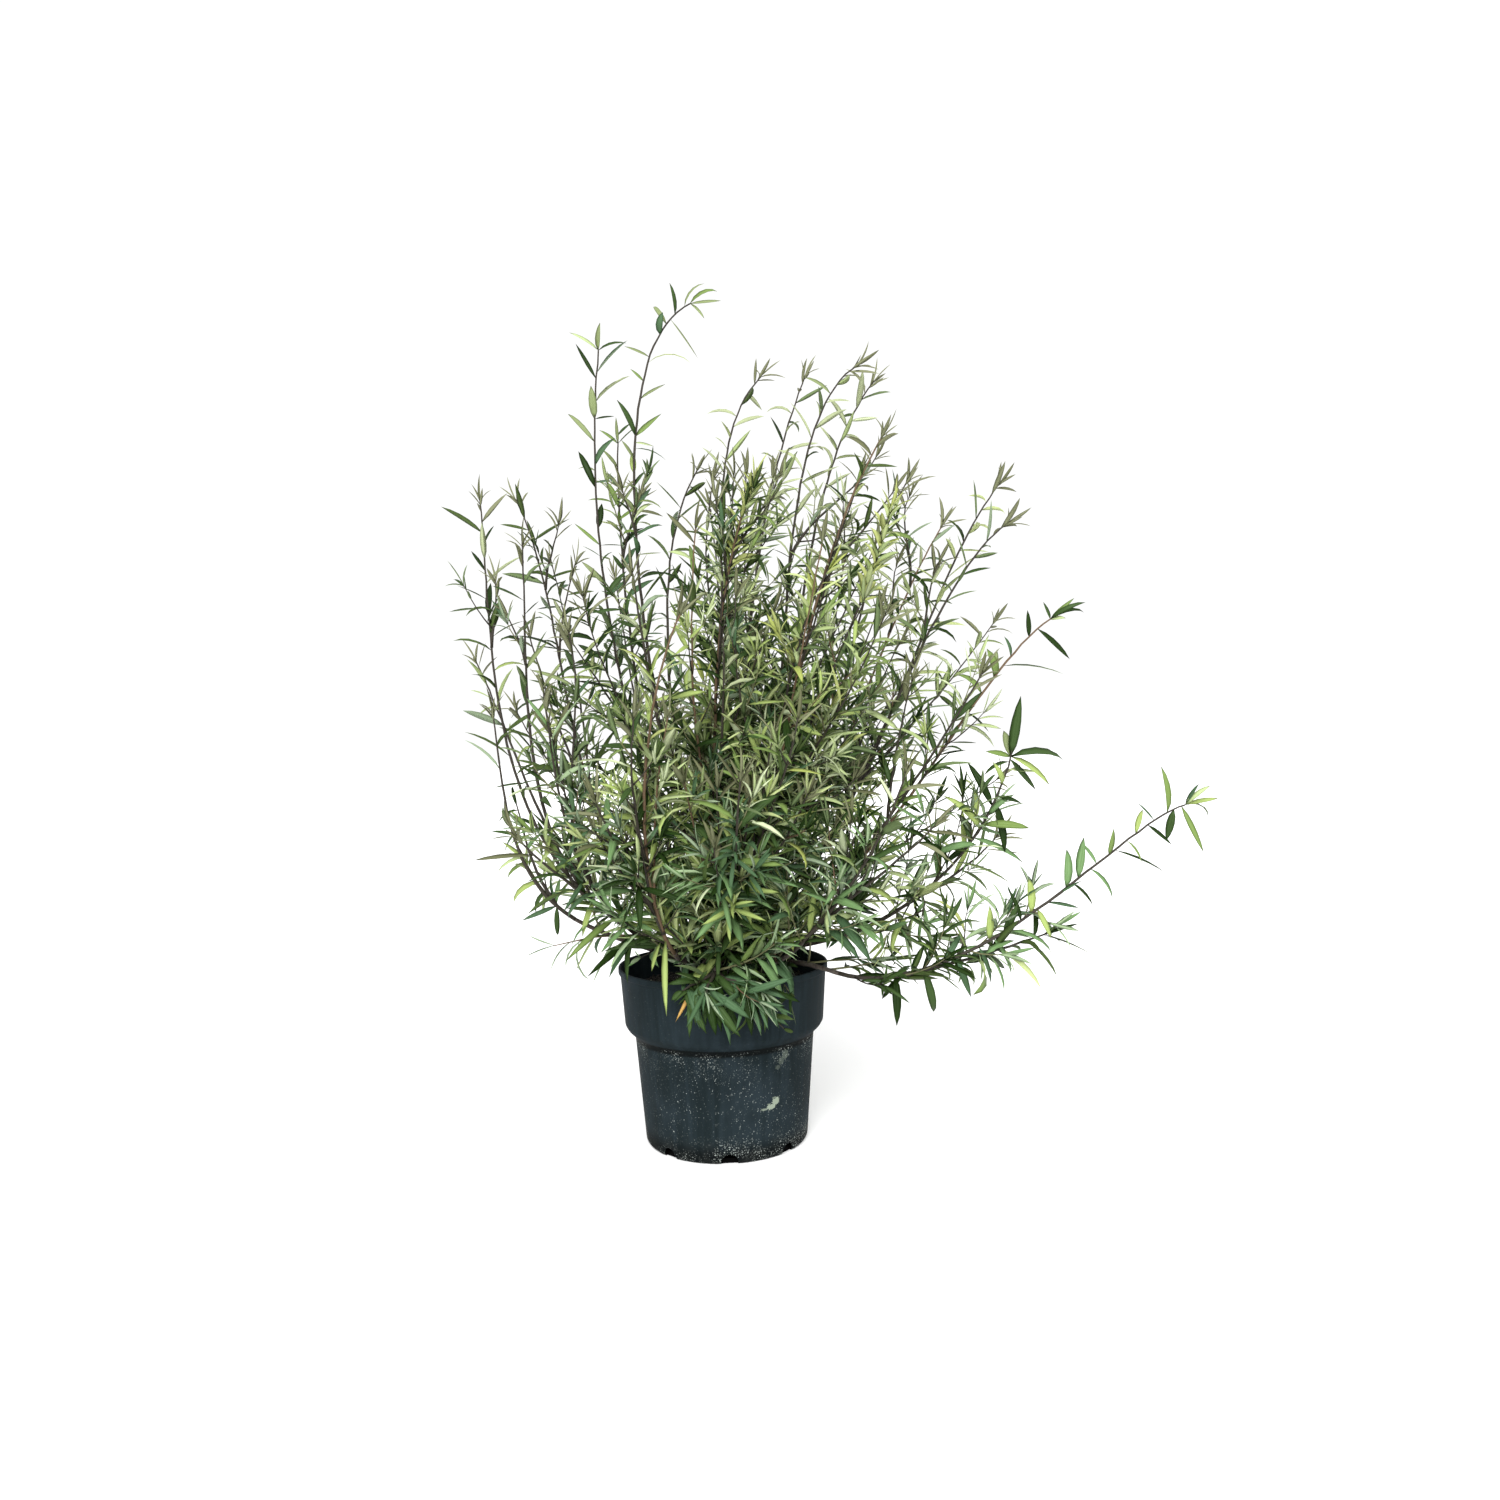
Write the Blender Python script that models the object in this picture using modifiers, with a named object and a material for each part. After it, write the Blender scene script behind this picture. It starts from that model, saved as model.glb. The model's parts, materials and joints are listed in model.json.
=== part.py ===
"""Potted dwarf willow in a five-litre nursery container.

Blender 4.5, metres, +Z up. The origin is the centre of the pot's underside, with +X to the
right and +Y to the back. A short woody stool stands on the soil. Each bough leaves it at one
of three tiers and ends where it enters its mass of foliage: a leader with side wands and
twigs, and lance-shaped leaves fused on.
"""

import math
import random
from collections import namedtuple

import bmesh
import bpy
import numpy as np
from mathutils import Matrix, Vector
from mathutils.bvhtree import BVHTree

SEED = 5
CLEARANCE = 0.0003

Wand = namedtuple("Wand", "path radius leave arrive")

# Pot: a thin moulded container with a rim band, a rolled lip and a dished underside
POT_HEIGHT = 0.187
LIP_RADIUS = 0.1127
LIP_DEPTH = 0.006
COLLAR_TOP_RADIUS = 0.1106
COLLAR_FOOT_RADIUS = 0.1066
COLLAR_FOOT_HEIGHT = 0.1265
BODY_TOP_RADIUS = 0.0960
BODY_TOP_HEIGHT = 0.1130
BODY_FOOT_RADIUS = 0.0868
FOOT_CORNER = 0.007
WALL = 0.002
FLOOR_TOP = 0.005
DISH_HEIGHT = 0.002
DISH_INNER_RADIUS = 0.042
DISH_OUTER_RADIUS = 0.072
TURN_STEPS = 32
DRAIN_HOLES = 8
DRAIN_RADIUS = 0.009
DRAIN_HEIGHT = 0.002

# Soil: moist peat, a little lower than the lip, with a slight crown round the stool
SOIL_LEVEL = 0.165
SOIL_FLAT_RADIUS = 0.036
SOIL_EDGE_DROP = 0.005

# Stool: the short woody stem inside the shrub, with a flared foot cut flat at the soil
STOOL_RADIUS = 0.029
STOOL_HEIGHT = 0.038
STOOL_SIDES = 16
STOOL_RINGS = ((0.00, 1.00), (0.14, 0.93), (0.40, 0.86), (0.66, 0.76), (0.86, 0.56), (1.00, 0.28))
FLARE_LOBES = 5
FLARE_SHARE = 0.09

# Tiers of the stool where boughs leave: height over the soil, radius, lean and bough radius
TIERS = {
    "foot": (0.011, 0.0200, 70, 0.0036),
    "shoulder": (0.025, 0.0150, 46, 0.0034),
    "crown": (0.034, 0.0080, 16, 0.0032),
}

# One row for each bough and the mass on its end: the tier it leaves, where the bough ends
# (azimuth from +X, reach from the pot's axis, height, lean from upright towards the azimuth)
# and the tips of its wands (x, y, z, nod from upright towards +X). Angles are in degrees.
MASSES = (
    ("right_long", "foot", (-33, 0.142, 0.1875, 102), (
        (0.521, -0.060, 0.356, 78), (0.366, -0.100, 0.240, 70))),
    ("right_low", "foot", (-14, 0.150, 0.224, 68), (
        (0.306, -0.090, 0.460, 8), (0.330, 0.020, 0.345, 40))),
    ("right_arch", "shoulder", (-7, 0.100, 0.245, 50), (
        (0.396, -0.040, 0.566, 64), (0.285, -0.115, 0.520, 30))),
    ("right_outer", "shoulder", (12, 0.074, 0.25, 42), (
        (0.348, 0.040, 0.738, 40), (0.352, -0.010, 0.673, 58))),
    ("right_mid", "shoulder", (40, 0.074, 0.246, 40), (
        (0.298, 0.150, 0.716, 34), (0.245, 0.085, 0.757, 30))),
    ("right_tall", "crown", (8, 0.034, 0.256, 16), (
        (0.198, 0.015, 0.856, 58), (0.212, 0.075, 0.866, 38), (0.206, -0.040, 0.776, 34))),
    ("back_right", "shoulder", (66, 0.086, 0.236, 46), (
        (0.155, 0.235, 0.705, 10), (0.255, 0.225, 0.530, 34), (0.175, 0.290, 0.400, 30))),
    ("centre_tall", "crown", (70, 0.032, 0.258, 10), (
        (0.127, 0.125, 0.897, 22), (0.086, 0.060, 0.868, 44))),
    ("back_centre", "crown", (92, 0.046, 0.25, 26), (
        (-0.015, 0.235, 0.770, -8), (0.060, 0.285, 0.600, 12))),
    ("back_low", "foot", (94, 0.124, 0.214, 60), (
        (0.020, 0.300, 0.400, 10), (-0.075, 0.285, 0.345, -30), (0.105, 0.255, 0.330, 30))),
    ("back_left", "shoulder", (118, 0.086, 0.236, 46), (
        (-0.140, 0.235, 0.680, -10), (-0.225, 0.205, 0.520, -26))),
    ("left_tall", "crown", (160, 0.038, 0.252, 22), (
        (-0.114, 0.000, 0.892, 6), (-0.110, 0.095, 0.830, 0))),
    ("left_back", "shoulder", (150, 0.094, 0.242, 48), (
        (-0.246, 0.085, 0.748, -26), (-0.240, 0.150, 0.600, -16))),
    ("left_outer", "shoulder", (180, 0.108, 0.23, 56), (
        (-0.258, 0.020, 0.738, -4), (-0.290, 0.055, 0.560, -26), (-0.196, -0.050, 0.676, 0))),
    ("left_low", "foot", (187, 0.160, 0.242, 58), (
        (-0.240, -0.030, 0.500, -6), (-0.236, 0.035, 0.400, -14))),
    ("mid_tall", "crown", (215, 0.028, 0.256, 16), (
        (0.020, -0.030, 0.905, 66), (0.004, 0.045, 0.766, 30), (-0.085, -0.070, 0.640, -6))),
    ("left_front", "shoulder", (216, 0.110, 0.232, 54), (
        (-0.165, -0.140, 0.520, -4), (-0.215, -0.130, 0.370, -34))),
    ("front_left", "foot", (248, 0.118, 0.218, 52), (
        (-0.004, -0.205, 0.576, 30), (-0.115, -0.215, 0.410, -16))),
    ("front_centre", "crown", (268, 0.036, 0.252, 18), (
        (0.062, -0.105, 0.720, 24), (0.012, -0.150, 0.560, 0))),
    ("front_mid", "shoulder", (276, 0.100, 0.232, 50), (
        (0.030, -0.250, 0.430, 6), (0.085, -0.215, 0.480, 10))),
    ("front_low", "foot", (268, 0.119, 0.2005, 92), (
        (0.008, -0.172, 0.156, 150), (-0.060, -0.150, 0.158, -140), (0.066, -0.150, 0.158, 140))),
    ("front_right", "crown", (300, 0.044, 0.246, 28), (
        (0.192, -0.110, 0.690, 16), (0.134, -0.160, 0.617, 32))),
    ("right_front", "foot", (306, 0.124, 0.216, 56), (
        (0.185, -0.205, 0.430, 14), (0.235, -0.150, 0.370, 40))),
)

# Lines of the wood: how firmly a curve keeps its first and last heading, how much less a
# nodding tip keeps its own, and how far a tip leans front or back for its distance out
CURVE_HOLD = 0.36
NOD_LOSS = 0.24
LEAST_HOLD = 0.12
SIDE_LEAN = 1.6

# Wood and leaves of the masses
BOUGH_TIP_RADIUS = 0.0021
BOUGH_SIDES = 6
BOUGH_STEPS = 5
WAND_TIP_RADIUS = 0.0009
SIDE_WAND_RADIUS = 0.0016
TWIG_RADIUS = 0.0012
WAND_SIDES = 3
WAND_STEP = 0.078
FORK_SHARES = (0.10, 0.16)
TWIG_LENGTH = 0.095
TWIG_SPREAD = 42
TWIG_LIFT = 0.6
LEAF_LENGTH = 0.076
LEAF_WIDTH = 0.0140
LEAF_THICKNESS = 0.0012
LEAF_WIDEST = 0.42
LEAF_RIDGE = 0.36
LEAF_SPREAD = 50
LEAF_SINK = 0.0008
TIP_LEAF_SHARE = 0.6
TIP_LEAF_SINK = 0.006
LEAF_DROOP = 0.10
LEVEL_DROOP = 0.50
LEAF_ROLL = 60
LOWEST_LEAF = 0.142
FOOT_SPACING = 0.036
TIP_SPACING = 0.057
YOUNG_SHRINK = 0.30
LEAF_TRIES = 6
RETRY_TURN = 71.0
WAND_TURN = 100.0
GOLDEN_ANGLE = 137.5
BARE_FOOT = 0.014
SPACE_MARGIN = 0.002
LIMB_MARGIN = 0.0015


def clear_scene():
    for obj in list(bpy.data.objects):
        bpy.data.objects.remove(obj, do_unlink=True)


def collection(name):
    made = bpy.data.collections.new(name)
    bpy.context.scene.collection.children.link(made)
    return made


def material(name, colour, roughness):
    made = bpy.data.materials.new(name)
    made.use_nodes = True
    shader = made.node_tree.nodes["Principled BSDF"]
    shader.inputs["Base Color"].default_value = (*colour, 1.0)
    shader.inputs["Roughness"].default_value = roughness
    shader.inputs["Metallic"].default_value = 0.0
    made.diffuse_color = (*colour, 1.0)
    return made


def new_object(name, bm, home, finish=None):
    mesh = bpy.data.meshes.new(name)
    bm.to_mesh(mesh)
    bm.free()
    obj = bpy.data.objects.new(name, mesh)
    home.objects.link(obj)
    if finish is not None:
        mesh.materials.append(finish)
    return obj


def turned(name, profile, home, finish):
    """A turned shape: a profile in the XZ plane with a Screw modifier round Z."""
    bm = bmesh.new()
    corners = [bm.verts.new((radius, 0.0, height)) for radius, height in profile]
    for above, below in zip(corners, corners[1:]):
        bm.edges.new((above, below))
    obj = new_object(name, bm, home, finish)
    screw = obj.modifiers.new("turn", "SCREW")
    screw.steps = TURN_STEPS
    screw.render_steps = TURN_STEPS
    screw.use_merge_vertices = True
    screw.merge_threshold = 0.00001
    screw.use_smooth_shade = False
    return obj


def outer_wall():
    """The pot's outer side from the lip down to the foot, as (radius, height)."""
    lip_foot = POT_HEIGHT - LIP_DEPTH
    corner = FOOT_CORNER * (1.0 - math.sqrt(0.5))
    return [
        (LIP_RADIUS - 0.0012, POT_HEIGHT),
        (LIP_RADIUS, POT_HEIGHT - 0.0014),
        (LIP_RADIUS, lip_foot),
        (COLLAR_TOP_RADIUS, lip_foot - 0.0015),
        (COLLAR_FOOT_RADIUS, COLLAR_FOOT_HEIGHT),
        (COLLAR_FOOT_RADIUS - 0.0022, COLLAR_FOOT_HEIGHT - 0.0050),
        (BODY_TOP_RADIUS + 0.0020, BODY_TOP_HEIGHT + 0.0030),
        (BODY_TOP_RADIUS, BODY_TOP_HEIGHT),
        (BODY_FOOT_RADIUS, FOOT_CORNER),
        (BODY_FOOT_RADIUS - corner, corner),
        (BODY_FOOT_RADIUS - FOOT_CORNER, 0.0),
    ]


def inner_wall():
    """The inner side of the wall from the floor up to the lip."""
    wall = [
        (LIP_RADIUS - WALL, POT_HEIGHT),
        (COLLAR_TOP_RADIUS - WALL, POT_HEIGHT - LIP_DEPTH),
        (COLLAR_FOOT_RADIUS - WALL, COLLAR_FOOT_HEIGHT),
        (BODY_TOP_RADIUS - WALL, BODY_TOP_HEIGHT),
        (BODY_FOOT_RADIUS - WALL, FLOOR_TOP),
    ]
    return wall[::-1]


def inner_radius(height):
    radii, heights = zip(*inner_wall())
    return float(np.interp(height, heights, radii))


def pot(home, cutters):
    underside = [
        (DISH_OUTER_RADIUS, 0.0),
        (DISH_OUTER_RADIUS - DISH_HEIGHT, DISH_HEIGHT),
        (DISH_INNER_RADIUS + DISH_HEIGHT, DISH_HEIGHT),
        (DISH_INNER_RADIUS, 0.0),
        (0.0, 0.0),
    ]
    profile = [(0.0, FLOOR_TOP)] + inner_wall() + outer_wall() + underside
    finish = material("pot_plastic", (0.022, 0.027, 0.034), 0.48)
    obj = turned("pot", profile, home, finish)
    drains = obj.modifiers.new("drain holes", "BOOLEAN")
    drains.operation = "DIFFERENCE"
    drains.operand_type = "COLLECTION"
    drains.collection = drain_cutters(cutters)
    return obj


def drain_cutters(cutters):
    """Short cylinders that lie along the radius and cut the foot of the wall."""
    drains = bpy.data.collections.new("drain_cutters")
    cutters.children.link(drains)
    for index in range(DRAIN_HOLES):
        angle = math.radians(-93.0 + index * 360.0 / DRAIN_HOLES)
        bm = bmesh.new()
        bmesh.ops.create_cone(bm, cap_ends=True, segments=12, radius1=DRAIN_RADIUS,
                              radius2=DRAIN_RADIUS, depth=0.020)
        place = (Matrix.Rotation(angle, 4, "Z")
                 @ Matrix.Translation((BODY_FOOT_RADIUS, 0.0, DRAIN_HEIGHT))
                 @ Matrix.Rotation(math.radians(90.0), 4, "Y"))
        bmesh.ops.transform(bm, matrix=place, verts=bm.verts)
        cutter = new_object(f"drain_cutter_{index}", bm, drains)
        cutter.hide_render = True
        cutter.display_type = "WIRE"
    return drains


def soil(home):
    edge_level = SOIL_LEVEL - SOIL_EDGE_DROP
    side = [(radius - CLEARANCE, height) for radius, height in inner_wall()
            if FLOOR_TOP < height < edge_level]
    side.append((inner_radius(edge_level) - CLEARANCE, edge_level))
    top = [(0.0, SOIL_LEVEL), (SOIL_FLAT_RADIUS, SOIL_LEVEL)]
    floor = FLOOR_TOP + CLEARANCE
    bottom = [(inner_radius(FLOOR_TOP) - CLEARANCE, floor), (0.0, floor)]
    finish = material("peat_soil", (0.012, 0.009, 0.007), 0.95)
    return turned("soil", top + side[::-1] + bottom, home, finish)


def drawn(rings, sides):
    """A closed shape: a capped ring that is extruded from each ring's place to the next."""
    bm = bmesh.new()
    bmesh.ops.create_circle(bm, cap_ends=True, segments=sides, radius=1.0)
    bmesh.ops.transform(bm, matrix=rings[0], verts=bm.verts)
    made = bmesh.ops.extrude_face_region(bm, geom=list(bm.faces))["geom"]
    end = [item for item in made if isinstance(item, bmesh.types.BMFace)]
    for index, (behind, ahead) in enumerate(zip(rings, rings[1:])):
        if index:
            end = bmesh.ops.extrude_discrete_faces(bm, faces=end)["faces"]
        bmesh.ops.transform(bm, matrix=ahead @ behind.inverted(), verts=list(end[0].verts))
    bmesh.ops.recalc_face_normals(bm, faces=bm.faces)
    return bm


def stool_mesh(grow):
    """Rings drawn upwards from the flat cut, with root lobes that fade towards the top."""
    base = SOIL_LEVEL + CLEARANCE - grow
    height = STOOL_HEIGHT + 2.0 * grow
    rings = []
    for rise, share in STOOL_RINGS:
        radius = STOOL_RADIUS * share + grow
        lift = Matrix.Translation((0.0, 0.0, base + rise * height))
        rings.append(lift @ Matrix.Diagonal((radius, radius, 1.0, 1.0)))
    bm = drawn(rings, STOOL_SIDES)
    for vert in bm.verts:
        around = math.atan2(vert.co.y, vert.co.x)
        fade = 1.0 - (vert.co.z - base) / height
        swell = 1.0 + FLARE_SHARE * fade * math.cos(FLARE_LOBES * around + 0.7)
        vert.co.x *= swell
        vert.co.y *= swell
    return bm


def limb(path, radii, sides, leave, arrive):
    """A tapering limb, drawn from point to point along its path."""
    middle = [(ahead - behind).normalized() for behind, ahead in zip(path, path[2:])]
    headings = [leave] + middle + [arrive]
    turn = headings[0].to_track_quat("Z", "Y")
    rings = []
    for index, (point, radius, heading) in enumerate(zip(path, radii, headings)):
        if index:
            turn = headings[index - 1].rotation_difference(heading) @ turn
        rings.append(Matrix.Translation(point) @ turn.to_matrix().to_4x4() @ Matrix.Scale(radius, 4))
    return drawn(rings, sides)


def leaf(root, heading, side, length, width):
    """A lance-shaped leaf of eight faces: the hull of its root, edges, ridges and tip."""
    widest = LEAF_WIDEST * length
    ridge = LEAF_RIDGE * length
    corners = (
        (0.0, 0.0, -LEAF_SINK),
        (-width / 2.0, 0.0, widest),
        (width / 2.0, 0.0, widest),
        (0.0, -LEAF_THICKNESS / 2.0, ridge),
        (0.0, LEAF_THICKNESS / 2.0, ridge),
        (0.0, 0.0, length),
    )
    bm = bmesh.new()
    for corner in corners:
        bm.verts.new(corner)
    bmesh.ops.convex_hull(bm, input=bm.verts)
    upper = heading.cross(side)
    turn = Matrix((side, upper, heading)).transposed().to_4x4()
    bmesh.ops.transform(bm, matrix=Matrix.Translation(root) @ turn, verts=bm.verts)
    bmesh.ops.recalc_face_normals(bm, faces=bm.faces)
    return bm


def polar(azimuth, reach, height):
    angle = math.radians(azimuth)
    return Vector((reach * math.cos(angle), reach * math.sin(angle), height))


def leaning(azimuth, lean):
    """A direction that leans from upright towards an azimuth."""
    tilt = math.radians(lean)
    flat = polar(azimuth, math.sin(tilt), 0.0)
    return Vector((flat.x, flat.y, math.cos(tilt)))


def curve(start, leave, end, arrive, steps, end_hold=CURVE_HOLD):
    """Points on a smooth curve that leaves and arrives in given directions."""
    reach = (end - start).length
    near = start + leave * reach * CURVE_HOLD
    far = end - arrive * reach * end_hold
    points = []
    for index in range(steps + 1):
        t = index / steps
        s = 1.0 - t
        points.append(start * s ** 3 + near * 3 * s * s * t + far * 3 * s * t * t + end * t ** 3)
    return points


def taper(first, last, count):
    return [first + (last - first) * index / (count - 1) for index in range(count)]


def along(path, share):
    """The point and the heading at a share of a path's length."""
    lengths = [(b - a).length for a, b in zip(path, path[1:])]
    left = share * sum(lengths)
    for (start, end), length in zip(zip(path, path[1:]), lengths):
        if left <= length:
            break
        left -= length
    heading = (end - start).normalized()
    return start + heading * left, heading


def path_length(path):
    return sum((b - a).length for a, b in zip(path, path[1:]))


def root_azimuths():
    """Boughs keep their order round the stool, and each tier spaces them evenly."""
    roots = {}
    for tier in TIERS:
        rows = sorted((row for row in MASSES if row[1] == tier), key=lambda row: row[2][0] % 360)
        step = 360.0 / len(rows)
        offsets = [math.radians(row[2][0] - index * step) for index, row in enumerate(rows)]
        start = math.degrees(math.atan2(sum(map(math.sin, offsets)), sum(map(math.cos, offsets))))
        for index, row in enumerate(rows):
            roots[row[0]] = start + index * step
    return roots


def bough_wands():
    """The line of each bough, from inside the stool to where its mass begins."""
    boughs = {}
    roots = root_azimuths()
    for name, tier, (azimuth, reach, height, lean), _ in MASSES:
        rise, distance, root_lean, radius = TIERS[tier]
        start = polar(roots[name], distance, SOIL_LEVEL + rise)
        leave = leaning(roots[name], root_lean)
        arrive = leaning(azimuth, lean)
        path = curve(start, leave, polar(azimuth, reach, height), arrive, BOUGH_STEPS)
        boughs[name] = Wand(path, radius, leave, arrive)
    return boughs


def mass_wands(row, bough):
    """The leader of a mass, which goes on from its bough, and the wands that fork from it."""
    leave = bough.arrive
    start = bough.path[-1] + leave * CLEARANCE
    wands = []
    for index, (x, y, z, nod) in enumerate(row[3]):
        bend = math.radians(nod)
        arrive = Vector((math.sin(bend), SIDE_LEAN * y, math.cos(bend)))
        arrive.normalize()
        end = Vector((x, y, z)) - arrive * LEAF_LENGTH * TIP_LEAF_SHARE
        radius = BOUGH_TIP_RADIUS
        if index:
            start, leave = along(wands[0].path, FORK_SHARES[index - 1])
            leave = (leave + (end - start).normalized()).normalized()
            radius = SIDE_WAND_RADIUS
        steps = max(4, round((end - start).length / WAND_STEP))
        end_hold = max(LEAST_HOLD, CURVE_HOLD - NOD_LOSS * abs(nod) / 90.0)
        path = curve(start, leave, end, arrive, steps, end_hold)
        wands.append(Wand(path, radius, leave, arrive))
    return wands


def dense(path, step=0.004):
    """Points every few millimetres along a path, for measuring distances."""
    rows = []
    for start, end in zip(path, path[1:]):
        count = max(1, round((end - start).length / step))
        rows += [start.lerp(end, index / count) for index in range(count)]
    return np.array([tuple(point) for point in rows + [path[-1]]])


def nearest(points, lines):
    """For each point, the distance to the nearest of the lines' points."""
    gaps = points[:, None, :] - lines[None, :, :]
    return np.sqrt((gaps ** 2).sum(axis=2)).min(axis=1)


class Space:
    """What the leaves and twigs of one mass keep clear of, and the part of the crown it has."""

    def __init__(self, name, wands, boughs):
        own = [dense(wand.path) for wand in wands[name]]
        others = [dense(wand.path) for other in wands if other != name for wand in wands[other]]
        self.own = np.concatenate(own)
        self.others = np.concatenate(others)
        self.limbs = np.concatenate([dense(bough.path) for bough in boughs.values()])

    def holds(self, points):
        """True where the points stay clear of the pot, the limbs and the other masses."""
        samples = np.array([tuple(point) for point in points])
        radius = np.hypot(samples[:, 0], samples[:, 1])
        height = samples[:, 2]
        over_soil = (radius < LIP_RADIUS - 0.006) & (height > SOIL_LEVEL + 0.003)
        outside = radius > LIP_RADIUS + 0.002
        over_lip = height > POT_HEIGHT + 0.002
        if not (over_soil | outside | over_lip).all():
            return False
        if height.min() < LOWEST_LEAF:
            return False
        stool_gap = np.hypot(radius, height - SOIL_LEVEL)
        if stool_gap.min() < STOOL_HEIGHT + 0.003:
            return False
        if nearest(samples, self.limbs).min() < TIERS["foot"][3] + LIMB_MARGIN:
            return False
        share = nearest(samples, self.own) + SPACE_MARGIN < nearest(samples, self.others)
        return bool(share.all())


def touches(bm, solids):
    """True where the piece cuts the surface of one of the solids."""
    tree = BVHTree.FromBMesh(bm)
    return any(tree.overlap(other) for other in solids)


def leaf_samples(root, heading, side, length, width):
    middle = [root + heading * length * share for share in (0.25, 0.42, 0.6, 0.8, 1.0)]
    edges = [middle[1] + side * width * sign for sign in (-0.5, 0.5)]
    return middle + edges


def outward(ahead, turn):
    """A direction square to a wand, turned round it by an angle in degrees."""
    return Matrix.Rotation(math.radians(turn), 3, ahead) @ ahead.orthogonal().normalized()


def grow_leaves(path, space, solids, chance, first_turn):
    """Leaves in a spiral up a wand, each tried at several turns before it is left out."""
    length = path_length(path)
    place = BARE_FOOT
    turn = first_turn
    made = []
    while place < length - BARE_FOOT:
        share = place / length
        point, ahead = along(path, share)
        young = 1.0 - YOUNG_SHRINK * share ** 3
        size = LEAF_LENGTH * young * chance.uniform(0.85, 1.12)
        width = LEAF_WIDTH * young * chance.uniform(0.88, 1.1)
        spread = math.radians(LEAF_SPREAD + chance.uniform(-12.0, 10.0))
        roll = math.radians(chance.uniform(-LEAF_ROLL, LEAF_ROLL))
        place += (FOOT_SPACING + (TIP_SPACING - FOOT_SPACING) * share) * chance.uniform(0.8, 1.2)
        turn += GOLDEN_ANGLE
        for attempt in range(LEAF_TRIES):
            out = outward(ahead, turn + attempt * RETRY_TURN)
            heading = ahead * math.cos(spread) + out * math.sin(spread)
            heading.z -= LEAF_DROOP + LEVEL_DROOP * (1.0 - abs(ahead.z))
            heading.normalize()
            side = heading.cross(Vector((0.05, 0.03, 1.0))).normalized()
            side = Matrix.Rotation(roll, 3, heading) @ side
            if not space.holds(leaf_samples(point, heading, side, size, width)):
                continue
            blade = leaf(point, heading, side, size, width)
            if touches(blade, solids):
                blade.free()
                continue
            solids.append(BVHTree.FromBMesh(blade))
            made.append(blade)
            break
    return made


def tip_leaf(wand, chance):
    """The leaf that ends a wand, in line with it."""
    side = outward(wand.arrive, chance.uniform(0.0, 180.0))
    root = wand.path[-1] - wand.arrive * TIP_LEAF_SINK
    length = LEAF_LENGTH * TIP_LEAF_SHARE + TIP_LEAF_SINK
    return leaf(root, wand.arrive, side, length, LEAF_WIDTH * 0.8)


def side_twigs(wands, space, chance):
    """Short twigs that fork from every other wand where the mass has room for them."""
    twigs = []
    for number, wand in enumerate(wands[::2]):
        start, ahead = along(wand.path, chance.uniform(0.18, 0.48))
        first_turn = number * 90.0 + chance.uniform(0.0, 60.0)
        for attempt in range(LEAF_TRIES):
            out = outward(ahead, first_turn + attempt * GOLDEN_ANGLE)
            spread = math.radians(TWIG_SPREAD)
            leave = ahead * math.cos(spread) + out * math.sin(spread)
            arrive = (leave + Vector((0.0, 0.0, TWIG_LIFT))).normalized()
            end = start + (leave + arrive).normalized() * TWIG_LENGTH
            twig = curve(start, leave, end, arrive, 2)
            if space.holds([twig[1], twig[1].lerp(twig[2], 0.5), twig[2]]):
                twigs.append(Wand(twig, TWIG_RADIUS, leave, arrive))
                break
    return twigs


def largest_body(mesh):
    """Drops loose scraps and the inner skins of sealed hollows, which fills them."""
    bm = bmesh.new()
    bm.from_mesh(mesh)
    left = set(bm.faces)
    bodies = []
    while left:
        queue = [left.pop()]
        body = []
        while queue:
            face = queue.pop()
            body.append(face)
            for edge in face.edges:
                for near in edge.link_faces:
                    if near in left:
                        left.discard(near)
                        queue.append(near)
        bodies.append(body)
    bodies.sort(key=len)
    for body in bodies[:-1]:
        bmesh.ops.delete(bm, geom=body, context="FACES")
    bmesh.ops.triangulate(bm, faces=bm.faces)
    closed = all(edge.is_manifold for edge in bm.edges)
    bm.to_mesh(mesh)
    bm.free()
    return closed


def fuse(name, solids, home, finish):
    """Joins the pieces of one mass by one Boolean union on a collection, and applies it."""
    group = bpy.data.collections.new(name + "_pieces")
    bpy.context.scene.collection.children.link(group)
    body = new_object(name, solids[0], home, finish)
    for index, solid in enumerate(solids[1:]):
        new_object(f"{name}_piece_{index}", solid, group)
    union = body.modifiers.new("fuse", "BOOLEAN")
    union.operation = "UNION"
    union.operand_type = "COLLECTION"
    union.collection = group
    for solver in ("EXACT", "MANIFOLD"):
        union.solver = solver
        graph = bpy.context.evaluated_depsgraph_get()
        mesh = bpy.data.meshes.new_from_object(body.evaluated_get(graph))
        if largest_body(mesh):
            break
    body.modifiers.clear()
    body.data = mesh
    mesh.name = name
    mesh.materials.clear()
    mesh.materials.append(finish)
    for piece in list(group.objects):
        bpy.data.objects.remove(piece, do_unlink=True)
    bpy.data.collections.remove(group)
    return body


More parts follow.
